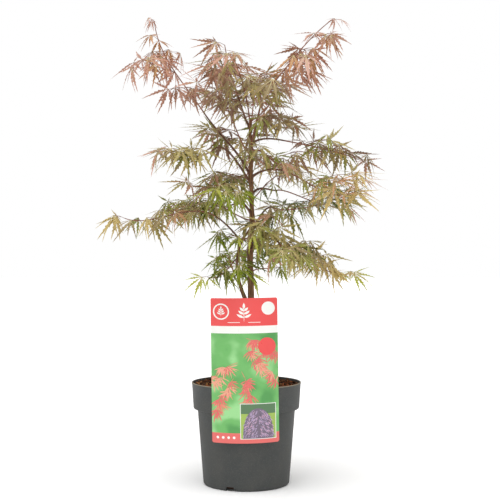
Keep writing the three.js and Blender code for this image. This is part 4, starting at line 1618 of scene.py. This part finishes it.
@dataclass
class BarkMulch:
    """What fills the pot: a bed of fine compost, heaped a little above the solid's flat top, under a
    loose layer of bark chips and shreds."""

    top: float
    pot: NurseryPot
    trunk: Vector
    seed: int = 5
    gap: float = 0.7 * MM
    clearance: float = 0.3 * MM
    bed_rise: float = 2.6 * MM
    lumps: float = 1.6 * MM
    lump_size: float = 9 * MM
    lump_finer: tuple[float, float, int] = (0.8, 2.0, 4)
    steps: int = 120
    rings: int = 26
    smooth_below: float = 60.0
    chips: int = 1150
    chip_kinds: int = 7
    chip_length: tuple[float, float] = (4 * MM, 14 * MM)
    chip_width: tuple[float, float] = (0.3, 0.75)
    chip_depth: tuple[float, float] = (0.2, 0.42)
    chip_shares: tuple[float, ...] = (0.36, 0.3, 0.22, 0.12)
    chip_bevel: float = 0.12
    shortest: float = 0.6
    splinter: tuple[float, float, float] = (0.7, 0.55, 0.5)
    tilt: float = 0.42
    layer: float = 5.0 * MM
    sunk: float = -0.3
    wall_room: float = 1.2 * MM
    trunk_room: float = 9 * MM
    tongue_room: tuple[float, float] = (20 * MM, -78 * MM)

    def _bed(self) -> bmesh.types.BMesh:
        """Makes the closed body of compost, lumpy on top.

        Returns:
            The mesh.
        """
        gap = self.pot.wall + self.gap
        foot = self.pot.floor + self.clearance
        top_radius = self.pot.rim_radius - gap - self.gap
        level = self.top + self.bed_rise
        outline = [
            (0.0, foot),
            (self.pot.foot_radius - gap - self.pot.corner, foot),
            (self.pot.foot_radius - gap, foot + self.pot.corner),
            (self.pot.shoulder_radius - gap, self.pot.collar_foot),
            (self.pot.collar_foot_radius - gap, self.pot.collar_foot + gap),
        ]
        outline += [(top_radius * (1 - share), level) for share in even_shares(self.rings)]
        bm = bmesh.new()
        spin_profile(bm, outline, {}, self.steps)
        for vert in bm.verts:
            if vert.co.z > level - MM:
                vert.co.z += self.lumps * noise.fractal(vert.co / self.lump_size, *self.lump_finer)
        return bm

    def _chip_kind(self, draws: np.random.Generator) -> tuple[np.ndarray, list]:
        """Makes one kind of chip: a bevelled splinter of unit length with uneven corners.

        Args:
            draws: the seeded run of numbers.

        Returns:
            Its vertices and faces.
        """
        bm = bmesh.new()
        bmesh.ops.create_cube(bm, size=1.0)
        for vert in bm.verts:
            vert.co = [part * draws.uniform(least, 1.0) for part, least in zip(vert.co, self.splinter)]
        round_off(bm, bm.edges, self.chip_bevel, 1, "EDGES")
        points = np.array([vert.co[:] for vert in bm.verts])
        faces = [tuple(vert.index for vert in face.verts) for face in bm.faces]
        bm.free()
        return points, faces

    def _strew(self, kinds: list, heaps: list[Gathered], draws: np.random.Generator) -> None:
        """Strews one chip, unless it would lie on the trunk or the card's tongue.

        Args:
            kinds: the kinds of chips, as vertices and faces.
            heaps: what takes the chips of each tint.
            draws: the seeded run of numbers.
        """
        reach = self.pot.rim_radius - self.pot.wall - self.wall_room
        length = draws.uniform(*self.chip_length) * draws.uniform(self.shortest, 1.0)
        wide = length * draws.uniform(*self.chip_width)
        deep = wide * draws.uniform(*self.chip_depth)
        out = reach * math.sqrt(draws.uniform(0.0, 1.0))
        turn = draws.uniform(0.0, math.tau)
        x, y = out * math.cos(turn), out * math.sin(turn)
        height = self.top + self.bed_rise + draws.uniform(self.sunk, 1.0) * self.layer
        yaw = Matrix.Rotation(draws.uniform(0.0, math.tau), 3, "Z")
        tip = Matrix.Rotation(draws.normal(0.0, self.tilt), 3, "Y")
        roll = Matrix.Rotation(draws.normal(0.0, self.tilt), 3, "X")
        points, faces = kinds[draws.integers(self.chip_kinds)]
        heap = heaps[draws.choice(len(heaps), p=self.chip_shares)]
        by_tongue = abs(x) < self.tongue_room[0] and y < self.tongue_room[1]
        if by_tongue or math.hypot(x - self.trunk.x, y - self.trunk.y) < self.trunk_room:
            return
        placed = (points * (length, wide, deep)) @ np.array(yaw @ tip @ roll).T + (x, y, height)
        over = np.hypot(placed[:, 0], placed[:, 1]).max() - reach
        if over > 0:
            placed -= (x / out * over, y / out * over, 0.0)
        heap.add(placed, faces)

    def build(self) -> None:
        """Makes the bed and strews the chips on it in four tints."""
        bed_finish = LooseBark("fine", "#3A2416").material()
        hand_over(make_piece("compost", self._bed(), [bed_finish], self.smooth_below), "soil", "soil")
        tints = (
            LooseBark("dark", "#452B1A"), LooseBark("brown", "#6B4225"),
            LooseBark("russet", "#8E4C22"), LooseBark("tan", "#94683C"),
        )
        draws = np.random.default_rng(self.seed)
        kinds = [self._chip_kind(draws) for _ in range(self.chip_kinds)]
        heaps = [Gathered() for _ in tints]
        for _ in range(self.chips):
            self._strew(kinds, heaps, draws)
        for tint, heap in zip(tints, heaps):
            hand_over(heap.piece(f"bark_chips_{tint.name}", tint.material()), "soil")


class Ink(Enum):
    """The inks of the card's print, in the order of its materials."""

    CORAL = PrintedSheet("coral", "#DE4240")
    WHITE = PrintedSheet("white", "#E8E8E3")
    GREEN = PrintedGarden()
    ROSE = PrintedSheet("rose", "#D65F5A")
    SALMON = PrintedSheet("salmon", "#D97E66")
    LILAC = PrintedSheet("lilac", "#A48FAE")
    MAUVE = PrintedSheet("mauve", "#675A6C")
    PINK = PrintedSheet("pink", "#C29AB2")
    YELLOW = PrintedSheet("yellow green", "#93AE4A")
    MOSS = PrintedSheet("moss green", "#4A6E48")
    PEACH = PrintedSheet("peach", "#DF9A7E")

    @property
    def number(self) -> int:
        """The ink's place among the materials."""
        return list(Ink).index(self)


def flat(x: float, z: float) -> Vector:
    """Gives a point of the card laid out flat."""
    return Vector((x, 0.0, z))


def cut(bm: bmesh.types.BMesh, point: Vector, normal: Vector, drop_outer: bool = False) -> None:
    """Cuts every face of a mesh along a plane.

    Args:
        bm: the mesh.
        point: a point of the plane.
        normal: the plane's normal.
        drop_outer: whether what lies beyond the plane, along its normal, is dropped.
    """
    bmesh.ops.bisect_plane(bm, geom=bm.verts[:] + bm.edges[:] + bm.faces[:], dist=WELD / 10,
                           plane_co=point, plane_no=normal, clear_outer=drop_outer)


@dataclass
class FlatPrint:
    """The card's print, laid out flat in films of ink about the card's centre, X to the right and Z up.
    A sprig's parts are shares of its height. Those of its pairs start from a first value and lose a
    second one from pair to pair."""

    film: float = 0.06 * MM
    disc_sides: int = 40
    swells: tuple[float, ...] = (0.25, 0.8, 1.0, 0.7, 0.0)
    sprig_pairs: int = 3
    sprig_stalk: tuple[float, float] = (0.8, 0.035)
    sprig_top: tuple[float, float] = (0.68, 0.34)
    sprig_breadth: float = 0.13
    sprig_bow: float = 26.0
    pair_up: tuple[float, float] = (0.26, -0.17)
    pair_length: tuple[float, float] = (0.42, 0.07)
    pair_turn: tuple[float, float] = (62, 8)

    def __post_init__(self) -> None:
        """Starts with no ink."""
        self.bm = bmesh.new()

    def shape(self, outline: Sequence[tuple[float, float]], ink: Ink, layer: int) -> None:
        """Lays one inked shape on the print.

        Args:
            outline: the shape's corners in turn, as X and Z.
            ink: its ink.
            layer: which film of ink it lies in, from 1.
        """
        face = self.bm.faces.new([self.bm.verts.new((x, -layer * self.film, z)) for x, z in outline])
        face.material_index = ink.number
        face.normal_update()
        if face.normal.y > 0:
            face.normal_flip()

    def disc(self, x: float, z: float, radius: float, ink: Ink, layer: int) -> None:
        """Lays a disc of ink about a point."""
        turns = [share * math.tau for share in even_shares(self.disc_sides)[:-1]]
        self.shape([(x + radius * math.cos(t), z + radius * math.sin(t)) for t in turns], ink, layer)

    def block(self, x: float, z: float, wide: float, tall: float, ink: Ink, layer: int) -> None:
        """Lays a rectangle of ink about a point."""
        corners = ((-0.5, -0.5), (0.5, -0.5), (0.5, 0.5), (-0.5, 0.5))
        self.shape([(x + wide * aside, z + tall * up) for aside, up in corners], ink, layer)

    def stroke(self, foot: Vector, length: float, breadth: float, turn: float, bow: float, ink: Ink,
               layer: int) -> None:
        """Lays one leaflet: a stroke that swells and runs out to a point.

        Args:
            foot: where it starts.
            length: its length.
            breadth: its greatest breadth.
            turn: how it is turned from straight right.
            bow: how far it is bowed, in degrees from end to end.
            ink: its ink.
            layer: which film of ink it lies in.
        """
        spans = len(self.swells) - 1
        point, left, right = foot.copy(), [], []
        for step, swell in enumerate(self.swells):
            way = math.radians(turn + bow * (step / spans - 0.5))
            across = flat(-math.sin(way), math.cos(way)) * breadth / 2 * swell
            left.append(point + across)
            right.append(point - across)
            point += flat(math.cos(way), math.sin(way)) * length / spans
        outline = [left[0], *right[1:], *reversed(left[1:-1])]
        self.shape([(corner.x, corner.z) for corner in outline], ink, layer)

    def sprig(self, foot: Vector, tall: float, ink: Ink, layer: int) -> None:
        """Lays an upright sprig of paired leaflets.

        Args:
            foot: where its stalk starts.
            tall: its height.
            ink: its ink.
            layer: which film of ink it lies in.
        """
        broad = tall * self.sprig_breadth
        long, thin = self.sprig_stalk
        self.stroke(foot, tall * long, tall * thin, 90, 0, ink, layer)
        for pair in range(self.sprig_pairs):
            up, long, turn = (first - pair * less
                              for first, less in (self.pair_up, self.pair_length, self.pair_turn))
            for side in (1, -1):
                self.stroke(foot + UP * tall * up, tall * long, broad, 90 - side * turn,
                            side * self.sprig_bow, ink, layer)
        up, long = self.sprig_top
        self.stroke(foot + UP * tall * up, tall * long, broad, 90, 0, ink, layer)


@dataclass
class PlantCard:
    """The plant card: a printed sheet bent round the pot's front, with a tongue hooked over the rim. Its
    print is a plain design of bands, sprigs and tufts. It is laid out flat about the card's centre, X to
    the right and Z up, and then bent. A motif's numbers are its X and Z and then its size, less what it
    shares with another."""

    pot: NurseryPot
    low: float = 85.2 * MM
    high: float = 326 * MM
    width: float = 111 * MM
    corner: float = 3 * MM
    corner_faces: int = 6
    thickness: float = 0.7 * MM
    stand_off: float = 0.45 * MM
    lean: float = 0.8
    centre: float = -2.4 * MM
    header_foot: float = 74 * MM
    strip_foot: float = 61.8 * MM
    footer_top: float = -103.5 * MM
    slice_width: float = 3 * MM
    smooth_below: float = 30.0
    tongue_width: float = 26 * MM
    tongue_radius: float = 91 * MM
    tongue_foot: float = 170 * MM
    tongue_gap: float = 0.3 * MM
    tongue_rounding: float = 0.9 * MM
    tongue_faces: int = 4
    tongue_steps: int = 10
    arches: tuple[tuple[tuple[float, float], ...], ...] = (
        ((2, 54), (20, 50), (56, 28)),
        ((4, 38), (18, 14), (50, -10)),
        ((-10, 14), (-34, 8), (-54, -14)),
        ((-6, 0), (6, -20), (8, -50)),
        ((-18, -12), (-36, -34), (-46, -66)),
    )
    arches_seed: int = 41
    arch_breadth: float = 0.9 * MM
    arch_overlap: float = 1.3
    tuft_spacing: float = 12 * MM
    tufts_at_node: int = 2
    tuft_aside: Spread = (0, 15)
    tuft_above: Spread = (-2, 11)
    tuft_turn: Spread = (-90, 90)
    leaflets: int = 7
    leaflets_apart: float = 21
    leaflet_turn: Spread = (0, 12)
    leaflet_length: Spread = (19, 10)
    leaflet_shorten: float = 0.09
    leaflet_bow: Spread = (0, 50)
    leaflet_breadth: Spread = (1.9, 0.8)
    panel: tuple[float, float, float] = (21 * MM, -84 * MM, 57 * MM)
    panel_border: float = 2 * MM
    panel_back: tuple[float, float] = (0.36, 0.28)
    bush: tuple[float, float] = (0.44, 0.88)
    bush_fill: tuple[float, float] = (0.42, 0.83)
    bush_foot: float = 0.03
    bush_fullness: float = 0.8
    bush_steps: int = 24
    bush_seed: int = 83
    bush_leaves: int = 220
    bush_leaf_length: Spread = (6.0, 4)
    bush_leaf_breadth: Spread = (1.0, 0.5)
    bush_leaf_turn: Spread = (34, 40)
    bush_leaf_bow: float = 50
    emblem: tuple[float, float, float] = (0.0, 80 * MM, 32 * MM)
    rule: tuple[float, float, float] = (17 * MM, 20 * MM, 0.9 * MM)
    badge: tuple[float, float] = (-38 * MM, 98 * MM)
    badge_radii: tuple[float, float] = (13.5 * MM, 11.3 * MM)
    badge_sprig: tuple[float, float] = (89 * MM, 18 * MM)
    moon: tuple[float, float, float] = (40 * MM, 103 * MM, 11 * MM)
    seal: tuple[float, float, float] = (37 * MM, 40 * MM, 14.5 * MM)
    dots: tuple[float, ...] = (-46 * MM, -37 * MM, -28 * MM, -19 * MM)
    dot_height: float = -111 * MM
    dot_radius: float = 2.2 * MM

    @property
    def radius(self) -> float:
        """The radius of the card's back."""
        return self.pot.rim_radius + self.stand_off

    def _bend(self, verts: Iterable[bmesh.types.BMVert], radius: float) -> None:
        """Turns flat points upright by the card's lean and bends them round the pot.

        Args:
            verts: the points.
            radius: the radius that they come to.
        """
        turn = Matrix.Rotation(math.radians(-self.lean), 3, "Y")
        grown = radius / self.radius
        for vert in verts:
            point = turn @ flat(vert.co.x, vert.co.z)
            x = point.x + self.centre
            away = math.sqrt(max(0.0, self.radius ** 2 - x * x))
            vert.co = Vector((x * grown, -away * grown, point.z + (self.low + self.high) / 2))

    def _cut_upright(self, bm: bmesh.types.BMesh) -> None:
        """Cuts flat faces into upright slices, so that they can bend."""
        for share in even_shares(round(self.width / self.slice_width))[1:-1]:
            cut(bm, flat(mix(-self.width / 2, self.width / 2, share), 0.0), RIGHT)

    def _sheet(self) -> bmesh.types.BMesh:
        """Makes the sheet with its bands of ink.

        Returns:
            The mesh.
        """
        bm = bmesh.new()
        half, tall = self.width / 2, (self.high - self.low) / 2
        places = ((-half, -tall), (half, -tall), (half, tall), (-half, tall))
        corners = [bm.verts.new(flat(x, z)) for x, z in places]
        bm.faces.new(corners)
        round_off(bm, corners, self.corner, self.corner_faces, "VERTICES")
        for level in (self.header_foot, self.strip_foot, self.footer_top):
            cut(bm, flat(0.0, level), UP)
        self._cut_upright(bm)
        for face in bm.faces:
            height = face.calc_center_median().z
            ink = Ink.CORAL if height > self.header_foot else Ink.WHITE
            if height < self.strip_foot:
                ink = Ink.GREEN if height > self.footer_top else Ink.ROSE
            face.material_index = ink.number
        grown = bmesh.ops.extrude_face_region(bm, geom=list(bm.faces))["geom"]
        front = {item for item in grown if isinstance(item, bmesh.types.BMVert)}
        self._bend([vert for vert in bm.verts if vert not in front], self.radius)
        self._bend(front, self.radius + self.thickness)
        bmesh.ops.recalc_face_normals(bm, faces=bm.faces[:])
        for face in bm.faces:
            if not front.issuperset(face.verts):
                face.material_index = Ink.WHITE.number
        return bm

    def _print_tuft(self, art: FlatPrint, node: Vector, draw: Draws) -> None:
        """Prints one hanging tuft of slender leaflets near a node of an arch.

        Args:
            art: the print.
            node: the node.
            draw: the picture's run of numbers.
        """
        hub = node + flat(draw.about(*self.tuft_aside), draw.about(*self.tuft_above)) * MM
        lean = draw.about(*self.tuft_turn)
        ink = draw.pick((Ink.SALMON, Ink.ROSE, Ink.PEACH))
        layer = 2 if ink is Ink.SALMON else 3
        middle = self.leaflets // 2
        for leaflet in range(self.leaflets):
            turn = lean + (leaflet - middle) * self.leaflets_apart + draw.about(*self.leaflet_turn)
            shorter = 1 - self.leaflet_shorten * abs(leaflet - middle)
            length = draw.about(*self.leaflet_length) * shorter * MM
            bow = draw.about(*self.leaflet_bow)
            art.stroke(hub, length, draw.about(*self.leaflet_breadth) * MM, turn, bow, ink, layer)

    def _print_picture(self, art: FlatPrint) -> None:
        """Prints tiers of hanging coral tufts, cut off at the picture's edges.

        Args:
            art: the print.
        """
        draw = Draws(self.arches_seed)
        for corners in self.arches:
            arch = Path(tuple(flat(x, z) * MM for x, z in corners))
            nodes = [arch.at(share) for share in even_shares(round(arch.length() / self.tuft_spacing))]
            for low, high in zip(nodes, nodes[1:]):
                way = math.degrees(math.atan2(high.z - low.z, high.x - low.x))
                length = (high - low).length * self.arch_overlap
                art.stroke(low, length, self.arch_breadth, way, 0, Ink.ROSE, 1)
                for _ in range(self.tufts_at_node):
                    self._print_tuft(art, high, draw)
        edges = ((self.strip_foot, UP), (self.footer_top, -UP),
                 (self.width / 2, RIGHT), (-self.width / 2, -RIGHT))
        for level, normal in edges:
            cut(art.bm, flat(level, level), normal, drop_outer=True)

    def _print_panel(self, art: FlatPrint) -> None:
        """Prints the small panel: a round lilac bush of fine arching leaves on yellow green.

        Args:
            art: the print.
        """
        x, z, side = self.panel
        outer = side + self.panel_border
        art.block(x, z, outer, outer, Ink.WHITE, 4)
        art.block(x, z, side, side, Ink.YELLOW, 5)
        back_middle, back_tall = self.panel_back
        art.block(x, z + side * back_middle, side, side * back_tall, Ink.MOSS, 6)
        foot = z - side / 2
        half, tall = self.bush
        turns = [share * math.pi for share in even_shares(self.bush_steps)]
        dome = [(x + side * half * math.cos(t), foot + side * tall * math.sin(t) ** self.bush_fullness)
                for t in turns]
        art.shape(dome, Ink.MAUVE, 7)
        draw = Draws(self.bush_seed)
        half, tall = self.bush_fill
        for i in range(self.bush_leaves):
            out, turn = math.sqrt((i + 0.5) / self.bush_leaves), math.pi * draw()
            up = self.bush_foot + tall * out * math.sin(turn) ** self.bush_fullness
            root = flat(x + side * half * out * math.cos(turn), foot + side * up)
            ink = draw.pick((Ink.LILAC, Ink.PINK, Ink.LILAC))
            away = 1 if math.cos(turn) > 0 else -1
            length = min(draw.about(*self.bush_leaf_length) * MM, root.z - foot)
            breadth = draw.about(*self.bush_leaf_breadth) * MM
            lean = away * draw.about(*self.bush_leaf_turn) - 90
            art.stroke(root, length, breadth, lean, -away * self.bush_leaf_bow, ink, 8)

    def _artwork(self) -> bmesh.types.BMesh:
        """Lays out the whole print and bends it onto the sheet.

        Returns:
            The mesh.
        """
        art = FlatPrint()
        self._print_picture(art)
        x, foot, tall = self.emblem
        art.sprig(flat(x, foot), tall, Ink.WHITE, 1)
        aside, wide, thin = self.rule
        for middle in (-aside, aside):
            art.block(middle, foot, wide, thin, Ink.WHITE, 1)
        for radius, ink, layer in zip(self.badge_radii, (Ink.WHITE, Ink.CORAL), (1, 2)):
            art.disc(*self.badge, radius, ink, layer)
        foot, tall = self.badge_sprig
        art.sprig(flat(self.badge[0], foot), tall, Ink.WHITE, 3)
        art.disc(*self.moon, Ink.WHITE, 1)
        art.disc(*self.seal, Ink.CORAL, 4)
        self._print_panel(art)
        for x in self.dots:
            art.disc(x, self.dot_height, self.dot_radius, Ink.WHITE, 1)
        self._cut_upright(art.bm)
        for vert in art.bm.verts:
            self._bend([vert], self.radius + self.thickness - vert.co.y)
        return art.bm

    def _tongue(self) -> bmesh.types.BMesh:
        """Makes the tongue that hooks the card over the rim.

        Returns:
            The mesh.
        """
        bm = bmesh.new()
        level = self.pot.rim + self.tongue_gap + self.thickness / 2
        outline = ((self.tongue_radius, self.tongue_foot), (self.tongue_radius, level),
                   (self.radius + self.thickness / 2, level))
        half = self.tongue_width / 2 / self.radius
        middle = math.radians(270) + self.centre / self.radius
        turn = Matrix.Rotation(middle - half, 3, "Z")
        corners = draw_line(bm, [turn @ flat(radius, height) for radius, height in outline])
        round_off(bm, [corners[1]], self.tongue_rounding, self.tongue_faces, "VERTICES")
        bmesh.ops.spin(bm, geom=bm.verts[:] + bm.edges[:], axis=UP, cent=(0.0, 0.0, 0.0),
                       steps=self.tongue_steps, angle=half * 2)
        bmesh.ops.recalc_face_normals(bm, faces=bm.faces[:])
        bmesh.ops.solidify(bm, geom=bm.faces[:], thickness=self.thickness)
        bmesh.ops.recalc_face_normals(bm, faces=bm.faces[:])
        return bm

    def build(self) -> None:
        """Makes the sheet, its print and its tongue."""
        inks = [ink.value.material() for ink in Ink]
        white = inks[Ink.WHITE.number]
        hand_over(make_piece("plant_card_sheet", self._sheet(), inks, self.smooth_below), "card",
                  "plant_card")
        hand_over(make_piece("plant_card_print", self._artwork(), inks), "card")
        hand_over(make_piece("plant_card_tongue", self._tongue(), [white], self.smooth_below), "card")


@dataclass
class Studio:
    """The pale floor, the soft white light and the camera at the photograph's place. A light's numbers
    are its strength, bearing and slope."""

    floor_radius: float = 14.0
    floor_sides: int = 96
    floor_drop: float = 0.1 * MM
    ambient_front: float = 1.0
    ambient_back: float = 0.44
    softness: float = 55.0
    key: tuple[float, float, float] = (1.9, 255, 82)
    front: tuple[float, float, float] = (0.31, 266, 18)
    camera_at: tuple[float, float, float] = (0.0063, -1.9, 0.4056)
    focal_pixels: float = 1090.0
    frame_pixels: float = 500.0
    sensor: float = 36.0
    sight: float = 100.0

    def _floor(self) -> None:
        """Lays the floor, just under the pot."""
        bm = bmesh.new()
        bmesh.ops.create_circle(bm, cap_ends=True, segments=self.floor_sides, radius=self.floor_radius,
                                matrix=Matrix.Translation(-UP * self.floor_drop))
        make_piece("studio_floor", bm, [MattPaper().material()])

    def _sun(self, name: str, strength: float, bearing: float, slope: float) -> None:
        """Sets a broad soft light that shines from a bearing and slope.

        Args:
            name: the light's name.
            strength: its strength.
            bearing: the bearing that it stands at.
            slope: how high it stands.
        """
        light = bpy.data.lights.new(name, "SUN")
        light.energy = strength
        light.angle = math.radians(self.softness)
        place(name, light).rotation_euler = direction(bearing, slope).to_track_quat("Z", "Y").to_euler()

    def _world(self) -> None:
        """Surrounds the plant with white that lights it more from the front than from behind."""
        world = bpy.data.worlds.new("white surround")
        world.use_nodes = True
        tree = world.node_tree
        tree.nodes.clear()
        seen = add_node(tree, "LightPath").outputs["Is Camera Ray"]
        way = add_node(tree, "TexCoord").outputs["Generated"]
        depth = add_node(tree, "SeparateXYZ", {0: way}).outputs["Y"]
        ambient = add_node(tree, "MapRange", {
            "Value": depth, "From Min": -1.0, "To Min": self.ambient_front, "To Max": self.ambient_back})
        strength = add_node(tree, "MapRange", {
            "Value": seen, "To Min": ambient.outputs[0], "To Max": 1.0})
        white = add_node(tree, "Background", {
            "Color": (1.0, 1.0, 1.0, 1.0), "Strength": strength.outputs[0]})
        add_node(tree, "OutputWorld", {"Surface": white.outputs[0]})
        bpy.context.scene.world = world

    def _camera(self) -> None:
        """Sets the camera level with the middle of the plant."""
        lens = bpy.data.cameras.new("camera")
        lens.sensor_width = self.sensor
        lens.lens = self.focal_pixels / self.frame_pixels * self.sensor
        lens.clip_end = self.sight
        camera = place("camera", lens)
        camera.location = self.camera_at
        camera.rotation_euler = (math.radians(90), 0.0, 0.0)
        bpy.context.scene.camera = camera

    def build(self) -> None:
        """Sets up the camera, the floor, the surround and the two lights."""
        self._camera()
        self._floor()
        self._world()
        self._sun("key_light", *self.key)
        self._sun("front_light", *self.front)
        bpy.context.scene.view_settings.view_transform = "Standard"


def main() -> None:
    """Builds the studio and then the plant, from the pot up."""
    logging.basicConfig(level=logging.INFO, format="%(message)s")
    Studio().build()
    pot_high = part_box("pot")[1]
    pot = NurseryPot(rim_radius=pot_high.x, rim=pot_high.z)
    trunk_low, trunk_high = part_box("trunk")
    wood = Wood(foot=trunk_low.z, tip=trunk_high.z)
    pot.build()
    BarkMulch(top=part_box("soil")[1].z, pot=pot, trunk=wood.trunk_point(wood.foot)).build()
    PlantCard(pot).build()
    wood.build()
    Foliage(wood, pot.rim_radius, *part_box("plant_card"), *map(Vector, cad_bounds)).build()


if __name__ == "__main__":
    main()
